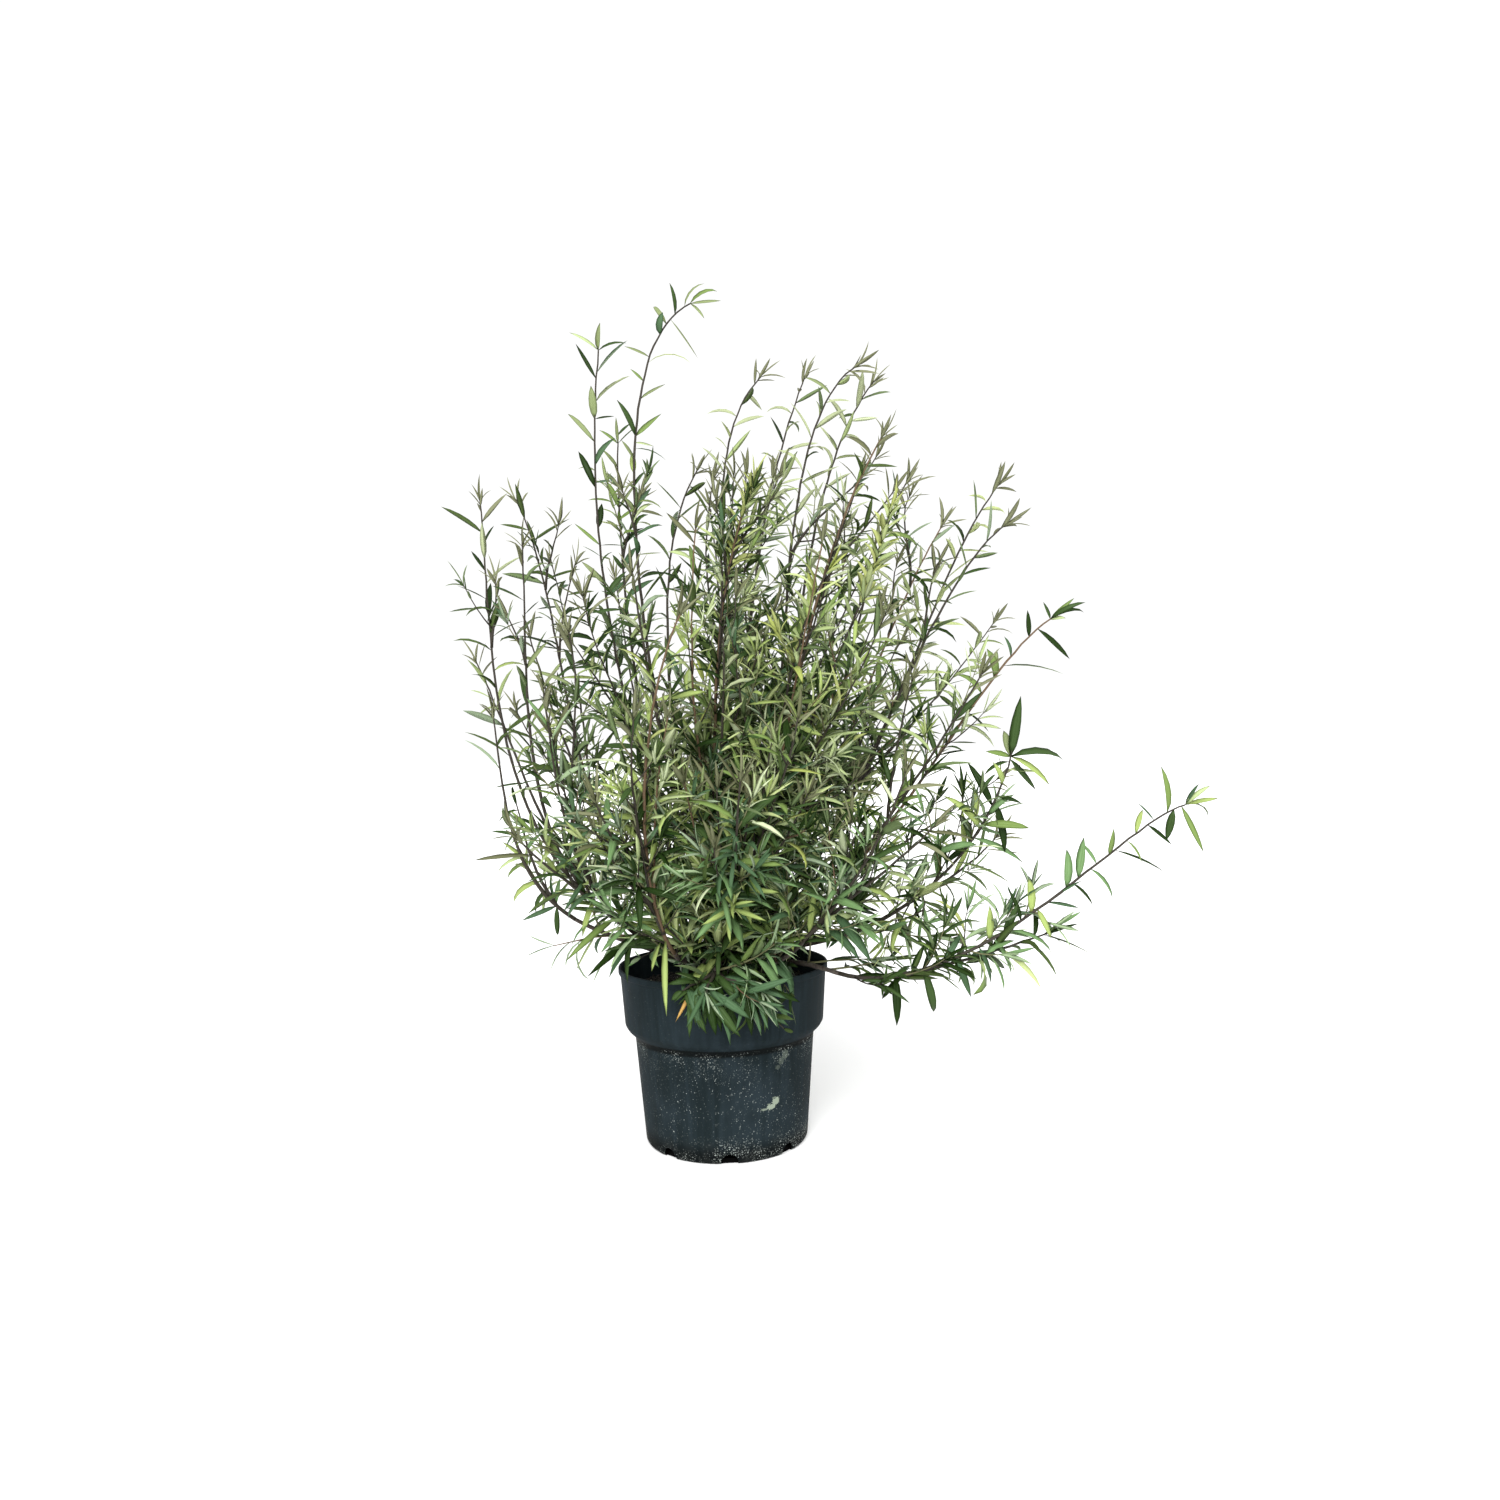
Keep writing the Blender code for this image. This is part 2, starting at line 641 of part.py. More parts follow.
def foliage(row, space, wands, solids, home, finish):
    """One mass: a leader, side wands and twigs, with leaves in spirals along them."""
    name = row[0]
    chance = random.Random(f"{SEED}-{name}")
    wood = wands[name] + side_twigs(wands[name], space, chance)
    pieces = []
    for wand in wood:
        radii = taper(wand.radius, WAND_TIP_RADIUS, len(wand.path))
        pieces.append(limb(wand.path, radii, WAND_SIDES, wand.leave, wand.arrive))
    pieces += [tip_leaf(wand, chance) for wand in wood]
    trees = [BVHTree.FromBMesh(piece) for piece in pieces]
    blades = []
    for index, wand in enumerate(wood):
        others = solids + trees[:index] + trees[index + 1:]
        grown = grow_leaves(wand.path, space, others, chance, index * WAND_TURN)
        trees += [BVHTree.FromBMesh(blade) for blade in grown]
        blades += grown
    return fuse("foliage_" + name, pieces + blades, home, finish)


def tree_of(obj):
    graph = bpy.context.evaluated_depsgraph_get()
    return BVHTree.FromObject(obj, graph)


def dwarf_willow():
    clear_scene()
    home = collection("potted_dwarf_willow")
    cutters = collection("cutters")
    solids = [tree_of(pot(home, cutters)), tree_of(soil(home))]
    bark = material("stool_bark", (0.085, 0.055, 0.040), 0.85)
    stool = new_object("stool", stool_mesh(0.0), home, bark)
    solids.append(tree_of(stool))
    seat = new_object("stool_clearance", stool_mesh(CLEARANCE * 1.3), cutters)
    seat.hide_render = True
    seat.display_type = "WIRE"

    boughs = bough_wands()
    for name, line in boughs.items():
        radii = taper(line.radius, BOUGH_TIP_RADIUS, len(line.path))
        wood = material("bough_bark_" + name, (0.105, 0.050, 0.035), 0.75)
        tube = limb(line.path, radii, BOUGH_SIDES, line.leave, line.arrive)
        bough = new_object("bough_" + name, tube, home, wood)
        cut = bough.modifiers.new("seat on the stool", "BOOLEAN")
        cut.operation = "DIFFERENCE"
        cut.object = seat
        solids.append(tree_of(bough))

    wands = {row[0]: mass_wands(row, boughs[row[0]]) for row in MASSES}
    for index, row in enumerate(MASSES):
        space = Space(row[0], wands, boughs)
        shade = 0.85 + 0.3 * (index % 5) / 4.0
        green = material("leaf_" + row[0], (0.075 * shade, 0.135 * shade, 0.050 * shade), 0.6)
        mass = foliage(row, space, wands, solids, home, green)
        solids.append(tree_of(mass))


dwarf_willow()
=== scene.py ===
"""Looks of the potted dwarf willow, in the order in which a nursery puts it together:
container, peat, stool, boughs, shoots, leaves, and then the photographer's stage."""

import json
import math
import random
from collections import namedtuple

import bmesh
import bpy
import numpy as np
from mathutils import Matrix, Vector, noise

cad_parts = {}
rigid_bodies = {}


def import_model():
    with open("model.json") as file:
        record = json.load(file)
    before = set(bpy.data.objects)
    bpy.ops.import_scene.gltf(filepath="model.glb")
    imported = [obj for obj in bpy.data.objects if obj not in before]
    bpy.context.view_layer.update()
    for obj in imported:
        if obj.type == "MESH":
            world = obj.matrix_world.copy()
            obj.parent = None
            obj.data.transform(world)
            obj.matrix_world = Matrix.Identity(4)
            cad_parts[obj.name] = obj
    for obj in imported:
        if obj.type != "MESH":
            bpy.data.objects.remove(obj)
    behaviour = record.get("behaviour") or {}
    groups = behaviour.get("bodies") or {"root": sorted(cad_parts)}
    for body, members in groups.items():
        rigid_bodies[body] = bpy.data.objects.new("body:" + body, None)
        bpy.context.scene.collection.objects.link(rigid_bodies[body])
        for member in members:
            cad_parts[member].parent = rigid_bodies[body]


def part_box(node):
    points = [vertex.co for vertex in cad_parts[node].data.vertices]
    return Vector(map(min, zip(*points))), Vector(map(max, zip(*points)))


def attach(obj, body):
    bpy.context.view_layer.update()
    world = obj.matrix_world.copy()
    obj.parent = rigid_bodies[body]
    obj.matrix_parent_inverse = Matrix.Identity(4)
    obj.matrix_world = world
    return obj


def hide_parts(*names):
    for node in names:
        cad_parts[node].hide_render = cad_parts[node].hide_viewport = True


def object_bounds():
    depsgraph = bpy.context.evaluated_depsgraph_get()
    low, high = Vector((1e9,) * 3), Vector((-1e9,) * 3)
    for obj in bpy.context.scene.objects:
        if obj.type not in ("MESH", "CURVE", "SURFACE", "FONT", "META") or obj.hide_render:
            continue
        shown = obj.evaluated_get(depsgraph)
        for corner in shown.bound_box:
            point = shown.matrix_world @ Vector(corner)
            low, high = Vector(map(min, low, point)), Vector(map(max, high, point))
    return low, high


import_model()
cad_low, cad_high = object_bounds()

# Container: a round nursery pot of black polypropylene, injection moulded with a thin wall,
# a deeper band round the rim, and half-round drain holes where the wall meets the floor.
# It is turned from one rounded profile, and the drain holes are cut out of it.
POT_STEPS = 144
ARC_STEPS = 4
POT_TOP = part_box("pot")[1].z
LIP_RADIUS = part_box("pot")[1].x
POT_WALL = 0.0020
POT_FLOOR = 0.0050
BAND_RADIUS = LIP_RADIUS - 0.0021
BAND_FOOT_RADIUS = LIP_RADIUS - 0.0061
BAND_FOOT = POT_TOP - 0.0605
BODY_RADIUS = LIP_RADIUS - 0.0167
BODY_TOP = POT_TOP - 0.0740
FOOT_RADIUS = LIP_RADIUS - 0.0259
DRAIN_HOLES = 8
DRAIN_RADIUS = 0.0088
DRAIN_HEIGHT = 0.0020
FIRST_DRAIN = -87.0
DRAIN_CUT = 0.004
DRILL_LENGTH = 0.020
DRILL_SIDES = 32
SHARP_ANGLE = 38.0
PLASTIC_COLOUR = (0.016, 0.026, 0.032)
STREAK_COLOURS = ((0.0075, 0.0120, 0.0135), (0.0125, 0.0190, 0.0225))
BROAD_COLOUR = (0.0180, 0.0265, 0.0325)
# Near-black for the darker foot and for the painted shade under the band
DARKENING_COLOUR = (0.003, 0.004, 0.004)
DUST_COLOUR = (0.060, 0.064, 0.058)
SPECK_COLOUR = (0.38, 0.42, 0.39)
LIME_COLOUR = (0.30, 0.35, 0.27)
# Near-black painted shade on the floor and underside inside the foot, where the drain holes look in
INSIDE_SHADE_COLOUR = (0.001, 0.001, 0.001)
LIME_RAGGED = 1.6
# Heights where lime, foot darkening and painted shade under the band fade in or out on the wall
FOOT_LIME = (0.034, 0.004)
FOOT_DARKENING = (0.026, 0.007)
RIM_LIME = ((0.085, 0.112), (0.116, 0.113))
RIM_PAINTED_SHADE = ((0.1085, 0.1118), (0.1185, 0.1160))
WALL_LIME = (0.118, 0.108)
# Lime specks of two sizes: cells in a metre, and the share of cells that stay bare where lime
# gathers and elsewhere
SPECKS = ((430.0, 0.42, 0.93), (760.0, 0.40, 0.72))
# Lime marks on the wall: place, reach and strength
LIME_MARKS = (
    ((0.0518, -0.0755, 0.0596), (0.0062, 0.0075, 0.0060), 0.66),
    ((0.0471, -0.0785, 0.0547), (0.0074, 0.0075, 0.0042), 0.66),
    ((0.0405, -0.0820, 0.0531), (0.0055, 0.0065, 0.0016), 0.45),
    ((0.0627, -0.0720, 0.1055), (0.0055, 0.0070, 0.0068), 0.16),
    ((0.0584, -0.0745, 0.0998), (0.0048, 0.0070, 0.0058), 0.13),
    ((0.0547, -0.0765, 0.0940), (0.0044, 0.0070, 0.0032), 0.10),
)


def rounded(corners):
    """A line through corners (radius, height, fillet), with each fillet a short curve."""
    points = []
    for index, (radius, height, fillet) in enumerate(corners):
        corner = Vector((radius, 0.0, height))
        if not fillet:
            points.append(corner)
            continue
        behind = Vector((corners[index - 1][0], 0.0, corners[index - 1][1]))
        ahead = Vector((corners[index + 1][0], 0.0, corners[index + 1][1]))
        entry = corner + (behind - corner).normalized() * fillet
        leave = corner + (ahead - corner).normalized() * fillet
        for step in range(ARC_STEPS + 1):
            t = step / ARC_STEPS
            points.append(entry * (1 - t) ** 2 + corner * 2 * t * (1 - t) + leave * t * t)
    return points


def turned(points, steps):
    """A profile in the XZ plane, spun all the way round Z."""
    bm = bmesh.new()
    corners = [bm.verts.new(point) for point in points]
    edges = [bm.edges.new(pair) for pair in zip(corners, corners[1:])]
    bmesh.ops.spin(bm, geom=corners + edges, cent=(0, 0, 0), axis=(0, 0, 1),
                   angle=2 * math.pi, steps=steps, use_merge=True)
    bmesh.ops.remove_doubles(bm, verts=bm.verts, dist=0.00001)
    bmesh.ops.recalc_face_normals(bm, faces=bm.faces)
    return bm


def set_down(name, mesh, finishes):
    """A named object at the origin, with its place in its mesh."""
    for made_finish in finishes:
        mesh.materials.append(made_finish)
    made = bpy.data.objects.new(name, mesh)
    bpy.context.scene.collection.objects.link(made)
    return made


def piece(name, bm, *finishes, smooth=True):
    """A piece from a finished shape."""
    mesh = bpy.data.meshes.new(name)
    bm.to_mesh(mesh)
    bm.free()
    if smooth:
        mesh.shade_smooth()
    return set_down(name, mesh, finishes)


def finish(name, colour, roughness, gloss=0.5):
    """A Principled material, with its node tree and its shader."""
    made = bpy.data.materials.new(name)
    made.use_nodes = True
    shader = made.node_tree.nodes["Principled BSDF"]
    shader.inputs["Base Color"].default_value = (*colour, 1.0)
    shader.inputs["Roughness"].default_value = roughness
    shader.inputs["Specular IOR Level"].default_value = gloss
    return made, made.node_tree, shader


def node(tree, kind, **values):
    """A shader node with the given settings and input values."""
    made = tree.nodes.new("ShaderNode" + kind)
    for name, value in values.items():
        socket = made.inputs.get(name.replace("_", " "))
        if socket is None:
            setattr(made, name, value)
        else:
            socket.default_value = value
    return made


def place(tree, scale=(1, 1, 1), shift=(0, 0, 0)):
    """Object coordinates through a Mapping node."""
    coords = node(tree, "TexCoord")
    mapping = node(tree, "Mapping", Scale=scale, Location=shift)
    tree.links.new(coords.outputs["Object"], mapping.inputs["Vector"])
    return mapping.outputs["Vector"]


def height_of(tree, vector):
    """The height that a vector has."""
    parts = node(tree, "SeparateXYZ")
    tree.links.new(vector, parts.inputs["Vector"])
    return parts.outputs["Z"]


def cloud(tree, vector, scale, detail=4.0):
    """Noise at a scale, from 0 to 1."""
    made = node(tree, "TexNoise", Scale=scale, Detail=detail)
    tree.links.new(vector, made.inputs["Vector"])
    return made.outputs["Fac"]


def band(tree, value, start, end, low=0.0, high=1.0):
    """A value brought smoothly from low to high between start and end."""
    made = node(tree, "MapRange", interpolation_type="SMOOTHSTEP")
    for socket, number in zip(made.inputs[1:5], (start, end, low, high)):
        socket.default_value = number
    tree.links.new(value, made.inputs["Value"])
    return made.outputs["Result"]


def product(tree, *values):
    """Two or more values multiplied together."""
    result = values[0]
    for value in values[1:]:
        made = node(tree, "Math", operation="MULTIPLY")
        tree.links.new(result, made.inputs[0])
        if isinstance(value, float):
            made.inputs[1].default_value = value
        else:
            tree.links.new(value, made.inputs[1])
        result = made.outputs[0]
    return result


def layer(tree, share, under, over):
    """One colour laid over another by a share."""
    made = node(tree, "Mix", data_type="RGBA")
    tree.links.new(share, made.inputs["Factor"])
    for socket, colour in zip((made.inputs[6], made.inputs[7]), (under, over)):
        if isinstance(colour, tuple):
            socket.default_value = (*colour, 1.0)
        else:
            tree.links.new(colour, socket)
    return made.outputs[2]


def relief(tree, shader, height, distance, strength=1.0):
    """A bump of a real depth in metres on the shader's normal."""
    bump = node(tree, "Bump", Strength=strength, Distance=distance)
    tree.links.new(height, bump.inputs["Height"])
    tree.links.new(bump.outputs["Normal"], shader.inputs["Normal"])


def pot_plastic():
    """Black plastic: draw marks, dust, lime, a darker foot, painted shade under the band and
    inside.
    """
    made, tree, shader = finish("pot_plastic", PLASTIC_COLOUR, 0.6, 0.02)
    link = tree.links.new
    here = place(tree)
    tall = height_of(tree, here)
    streaks = cloud(tree, place(tree, scale=(1, 1, 0.05)), 130.0)
    broad = cloud(tree, here, 14.0, 3.0)
    colour = layer(tree, band(tree, streaks, 0.35, 0.7), *STREAK_COLOURS)
    colour = layer(tree, band(tree, broad, 0.45, 0.75, 0.0, 0.7), colour, BROAD_COLOUR)
    foot = band(tree, tall, *FOOT_LIME)
    under_band = product(tree, *(band(tree, tall, *fade) for fade in RIM_LIME))
    patchy = band(tree, cloud(tree, here, 38.0), 0.40, 0.62)
    everywhere = product(tree, band(tree, cloud(tree, here, 17.0), 0.35, 0.65, 0.15, 1.0),
                         band(tree, tall, *WALL_LIME, 0.12, 1.0))
    # Darker towards the foot
    foot_darkening = product(tree, band(tree, tall, *FOOT_DARKENING), 0.92)
    # Painted shade on the body just under the band, where the band casts its shadow
    rim_shade = product(tree, *(band(tree, tall, *fade) for fade in RIM_PAINTED_SHADE), 0.95)
    reach = node(tree, "VectorMath", operation="LENGTH")
    link(place(tree, scale=(1, 1, 0)), reach.inputs[0])
    # Painted shade inside the foot radius, so the drain holes look dark
    inside = band(tree, reach.outputs["Value"], FOOT_RADIUS - 0.0022, FOOT_RADIUS - 0.0036)
    # Lay on the darker foot and the painted shade under the band
    for share in (foot_darkening, rim_shade):
        colour = layer(tree, share, colour, DARKENING_COLOUR)
    dusty = product(tree, band(tree, cloud(tree, here, 60.0), 0.4, 0.7), foot, 0.12)
    colour = layer(tree, dusty, colour, DUST_COLOUR)
    for cells, common, rare in SPECKS:
        grains = node(tree, "TexVoronoi", Scale=cells)
        link(here, grains.inputs["Vector"])
        dots = band(tree, grains.outputs["Distance"], 0.36, 0.22)
        cell = node(tree, "SeparateColor")
        link(grains.outputs["Color"], cell.inputs[0])
        bright = band(tree, cell.outputs[2], 0.0, 1.0, 0.25, 0.9)
        sparse = band(tree, cell.outputs[2], 0.55, 1.0, 0.12, 0.85)
        many = band(tree, cell.outputs[0], common, common + 0.05)
        few = band(tree, cell.outputs[1], rare, rare + 0.03)
        for share in (product(tree, dots, many, bright, patchy, foot),
                      product(tree, dots, many, bright, patchy, under_band, 0.8),
                      product(tree, dots, few, sparse, everywhere)):
            colour = layer(tree, share, colour, SPECK_COLOUR)
    for spot, size, strength in LIME_MARKS:
        stretch = tuple(1.0 / side for side in size)
        shift = tuple(-middle / side for middle, side in zip(spot, size))
        centred = place(tree, scale=stretch, shift=shift)
        ragged = node(tree, "TexNoise", Scale=3.0, Detail=5.0)
        link(centred, ragged.inputs["Vector"])
        pushed = node(tree, "VectorMath", operation="MULTIPLY_ADD")
        pushed.inputs[1].default_value = (LIME_RAGGED,) * 3
        link(ragged.outputs["Color"], pushed.inputs[0])
        link(centred, pushed.inputs[2])
        ball = node(tree, "TexGradient", gradient_type="SPHERICAL")
        moved = node(tree, "VectorMath", operation="SUBTRACT")
        moved.inputs[1].default_value = (LIME_RAGGED / 2,) * 3
        link(pushed.outputs[0], moved.inputs[0])
        link(moved.outputs[0], ball.inputs["Vector"])
        mark = band(tree, ball.outputs["Fac"], 0.24, 0.36, 0.0, strength)
        colour = layer(tree, mark, colour, LIME_COLOUR)
    # Lay the near-black painted shade over the floor and underside inside the foot
    colour = layer(tree, inside, colour, INSIDE_SHADE_COLOUR)
    link(colour, shader.inputs["Base Color"])
    link(band(tree, streaks, 0.2, 0.8, 0.50, 0.72), shader.inputs["Roughness"])
    relief(tree, shader, streaks, 0.0003, 0.6)
    return made


inner_foot = FOOT_RADIUS - POT_WALL
pot_profile = rounded((
    (0.0, POT_FLOOR, 0),
    (inner_foot, POT_FLOOR, 0.003),
    (BODY_RADIUS - POT_WALL, BODY_TOP, 0.003),
    (BAND_FOOT_RADIUS - POT_WALL, BAND_FOOT, 0.003),
    (BAND_RADIUS - POT_WALL, POT_TOP - 0.006, 0),
    (LIP_RADIUS - POT_WALL - 0.0004, POT_TOP, 0.0009),
    (LIP_RADIUS, POT_TOP, 0.0009),
    (LIP_RADIUS, POT_TOP - 0.006, 0.0008),
    (BAND_RADIUS, POT_TOP - 0.0072, 0.0008),
    (BAND_FOOT_RADIUS, BAND_FOOT, 0.0012),
    (BAND_FOOT_RADIUS - 0.0025, BAND_FOOT - 0.0045, 0.0015),
    (BODY_RADIUS + 0.0020, BODY_TOP + 0.0030, 0.0015),
    (BODY_RADIUS, BODY_TOP - 0.0005, 0.0015),
    (FOOT_RADIUS, 0.0034, 0.0022),
    (FOOT_RADIUS - 0.0030, 0.0, 0.0020),
    (0.0720, 0.0, 0.0006),
    (0.0700, 0.0020, 0.0006),
    (0.0440, 0.0020, 0.0006),
    (0.0420, 0.0, 0.0006),
    (0.0, 0.0, 0),
))
pot = piece("pot_shell", turned(pot_profile, POT_STEPS), pot_plastic())
for hole in range(DRAIN_HOLES):
    drill = bmesh.new()
    bmesh.ops.create_cone(drill, cap_ends=True, segments=DRILL_SIDES, radius1=DRAIN_RADIUS,
                          radius2=DRAIN_RADIUS, depth=DRILL_LENGTH)
    turn = Matrix.Rotation(math.radians(FIRST_DRAIN + hole * 360.0 / DRAIN_HOLES), 4, "Z")
    wall_place = Matrix.Translation((FOOT_RADIUS + DRAIN_CUT, 0, DRAIN_HEIGHT))
    lay = wall_place @ Matrix.Rotation(math.pi / 2, 4, "Y")
    bmesh.ops.transform(drill, matrix=turn @ lay, verts=drill.verts)
    cutter = piece(f"drain_drill_{hole}", drill)
    cut = pot.modifiers.new("drain hole", "BOOLEAN")
    cut.operation = "DIFFERENCE"
    cut.object = cutter
scene_state = bpy.context.evaluated_depsgraph_get()
cut_mesh = bpy.data.meshes.new_from_object(pot.evaluated_get(scene_state))
pot.modifiers.clear()
pot.data = cut_mesh
pot.data.set_sharp_from_angle(angle=math.radians(SHARP_ANGLE))
for obj in [obj for obj in bpy.data.objects if obj.name.startswith("drain_drill")]:
    bpy.data.objects.remove(obj)
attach(pot, "root")
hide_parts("pot")

# Peat: moist black potting peat, pressed in by hand to a finger's width under the lip. Its top
# is uneven, with crumbs and a few pale grains of perlite, and it has fallen away behind the holes.
PEAT_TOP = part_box("soil")[1].z
PEAT_FLAT = 0.036
PEAT_DROP = 0.005
PEAT_ROUGHNESS = 0.0032
PEAT_LUMPS = 60.0
PEAT_DIP = 0.001
PEAT_COLOURS = ((0.006, 0.005, 0.004), (0.034, 0.026, 0.019))
PEAT_STEPS = 120
PEAT_RINGS = 44
PEAT_GAP = 0.0002
CRUMBS = 1500
CRUMB_SIZES = (0.0008, 0.0030)
GRAINS = 70
GRAIN_SIZES = (0.0006, 0.0013)
LUMP_SPANS = ((0.5, 1.0), (0.6, 1.2), (0.6, 1.3))
PERLITE_COLOUR = (0.52, 0.50, 0.44)
WALL_MARGIN = 0.004
FALLEN_PEAT = 0.022


def wall_radius(height):
    """The inner radius of the container at a height."""
    heights = (POT_FLOOR, BODY_TOP, BAND_FOOT, POT_TOP)
    radii = (FOOT_RADIUS, BODY_RADIUS, BAND_FOOT_RADIUS, BAND_RADIUS)
    return float(np.interp(height, heights, radii)) - POT_WALL


def peat_height(x, y):
    """The uneven top of the peat at a place."""
    reach = math.hypot(x, y)
    edge = wall_radius(PEAT_TOP - PEAT_DROP)
    fall = PEAT_DROP * max(0.0, (reach - PEAT_FLAT) / (edge - PEAT_FLAT))
    lumps = noise.fractal(Vector((x, y, 0.3)) * PEAT_LUMPS, 1.0, 2.2, 4)
    return PEAT_TOP - fall - PEAT_DIP + lumps * PEAT_ROUGHNESS


def peat():
    """Near-black crumbly peat."""
    made, tree, shader = finish("peat", (0.012, 0.009, 0.007), 0.95)
    crumbly = cloud(tree, place(tree), 260.0, 6.0)
    light = band(tree, crumbly, 0.4, 0.72)
    colour = layer(tree, light, *PEAT_COLOURS)
    tree.links.new(colour, shader.inputs["Base Color"])
    relief(tree, shader, crumbly, 0.0012)
    return made


def template(bm):
    """The corners and the triangles of a small shape that is copied many times."""
    bmesh.ops.triangulate(bm, faces=bm.faces)
    corners = np.array([vert.co for vert in bm.verts])
    faces = np.array([[vert.index for vert in face.verts] for face in bm.faces])
    kinds = np.array([face.material_index for face in bm.faces])
    bm.free()
    return corners, faces, kinds


def joined(name, corners, faces, kinds, finishes, smooth=True, ridge=None):
    """One piece from many copies: corners (copies, corners, 3) and the faces of one copy. Edges
    between two corners of the ridge are sharp."""
    copies, count, _ = corners.shape
    steps = (np.arange(copies) * count)[:, None, None]
    mesh = bpy.data.meshes.new(name)
    all_faces = (faces[None, :, :] + steps).reshape(-1, 3)
    mesh.from_pydata(corners.reshape(-1, 3), [], all_faces)
    mesh.polygons.foreach_set("material_index", kinds.reshape(-1).astype(np.int32))
    mesh.polygons.foreach_set("use_smooth", np.full(len(all_faces), smooth))
    if ridge is not None:
        ends = np.empty(len(mesh.edges) * 2, np.int32)
        mesh.edges.foreach_get("vertices", ends)
        sharp = mesh.attributes.new("sharp_edge", "BOOLEAN", "EDGE")
        sharp.data.foreach_set("value", np.tile(ridge, copies)[ends.reshape(-1, 2)].all(axis=1))
    return set_down(name, mesh, finishes)


def scattered(name, count, sizes, lift, finish_made, seed):
    """Lumps of random size and turn, half sunk in the peat's top."""
    chance = random.Random(seed)
    bm = bmesh.new()
    bmesh.ops.create_icosphere(bm, subdivisions=1, radius=1.0)
    shape, faces, kinds = template(bm)
    lumps = []
    for _ in range(count):
        reach = (wall_radius(PEAT_TOP) - WALL_MARGIN) * math.sqrt(chance.random())
        around = chance.uniform(0.0, 2 * math.pi)
        x = reach * math.cos(around)
        y = reach * math.sin(around)
        size = chance.uniform(*sizes)
        axis = Vector([chance.uniform(-1, 1) for _ in range(3)])
        turn = Matrix.Rotation(chance.uniform(0.0, 6.3), 3, axis)
        squash = np.array([chance.uniform(*span) for span in LUMP_SPANS])
        spot = np.array([x, y, peat_height(x, y) + size * lift])
        lumps.append((shape * squash * size) @ np.array(turn) + spot)
    corners = np.array(lumps)
    return joined(name, corners, faces, np.tile(kinds, count), [finish_made], smooth=False)


peat_finish = peat()
edge = wall_radius(PEAT_TOP - PEAT_DROP) - PEAT_GAP
surface = [Vector((edge * ring / PEAT_RINGS, 0.0, PEAT_TOP)) for ring in range(PEAT_RINGS + 1)]
below = rounded((
    (wall_radius(BAND_FOOT) - PEAT_GAP, BAND_FOOT, 0),
    (wall_radius(BODY_TOP) - PEAT_GAP, BODY_TOP, 0),
    (wall_radius(FALLEN_PEAT) - PEAT_GAP, FALLEN_PEAT, 0),
    (wall_radius(POT_FLOOR) - FALLEN_PEAT, POT_FLOOR + PEAT_GAP, 0),
    (0.0, POT_FLOOR + PEAT_GAP, 0),
))
ball = turned(surface + below, PEAT_STEPS)
for vert in ball.verts:
    if vert.co.z > PEAT_TOP - PEAT_DIP:
        vert.co.z = peat_height(vert.co.x, vert.co.y)
peat_ball = piece("peat_ball", ball, peat_finish)
crumbs = scattered("peat_crumbs", CRUMBS, CRUMB_SIZES, 0.25, peat_finish, 11)
perlite_finish, perlite_tree, perlite_shader = finish("perlite", PERLITE_COLOUR, 0.9)
relief(perlite_tree, perlite_shader, cloud(perlite_tree, place(perlite_tree), 900.0), 0.0003)
perlite = scattered("perlite_grains", GRAINS, GRAIN_SIZES, 0.5, perlite_finish, 12)
for made in (peat_ball, crumbs, perlite):
    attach(made, "root")
    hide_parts("soil")

# Stool: the short old stem inside the shrub, cut back hard in the nursery, with grey-brown
# furrowed bark and a flared foot. It is drawn up ring by ring from its flat cut at the peat.
STOOL_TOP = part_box("stool")[1].z
STOOL_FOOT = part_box("stool")[0].z
STOOL_RADIUS = 0.0285
STOOL_SIDES = 48
STOOL_RINGS = 22
STOOL_SHAPE = ((0.00, 1.00), (0.14, 0.93), (0.40, 0.86), (0.66, 0.76), (0.86, 0.56), (1.00, 0.28))
FLARE_LOBES = 5
FLARE_SHARE = 0.09
FLARE_TURN = 0.7
FURROW_DEPTH = 0.0014
FURROW_SCALE = (5, 45)
BARK_STRETCH = (1, 1, 0.22)
BLOTCH_COLOUR = (0.15, 0.135, 0.115)


def drawn(rings, sides):
    """A closed shape: a capped ring that is extruded from each ring's place to the next."""
    bm = bmesh.new()
    bmesh.ops.create_circle(bm, cap_ends=True, segments=sides, radius=1.0)
    bmesh.ops.transform(bm, matrix=rings[0], verts=bm.verts)
    made = bmesh.ops.extrude_face_region(bm, geom=list(bm.faces))["geom"]
    end = [item for item in made if isinstance(item, bmesh.types.BMFace)]
    for index, (behind, ahead) in enumerate(zip(rings, rings[1:])):
        if index:
            end = bmesh.ops.extrude_discrete_faces(bm, faces=end)["faces"]
        bmesh.ops.transform(bm, matrix=ahead @ behind.inverted(), verts=list(end[0].verts))
    bmesh.ops.recalc_face_normals(bm, faces=bm.faces)
    return bm


def bark(name, old, young, old_height, young_height):
    """Bark that goes from grey and furrowed at the foot to red-brown and smoother above."""
    made, tree, shader = finish(name, old, 0.85)
    here = place(tree)
    age = band(tree, height_of(tree, here), old_height, young_height)
    fibres = cloud(tree, place(tree, scale=BARK_STRETCH), 420.0, 6.0)
    colour = layer(tree, age, old, young)
    dark = tuple(0.45 * channel for channel in young)
    colour = layer(tree, band(tree, fibres, 0.55, 0.35, 0.0, 0.8), colour, dark)
    blotches = band(tree, cloud(tree, here, 90.0), 0.5, 0.75, 0.0, 0.5)
    colour = layer(tree, blotches, colour, BLOTCH_COLOUR)
    tree.links.new(colour, shader.inputs["Base Color"])
    relief(tree, shader, fibres, 0.0006)
    return made


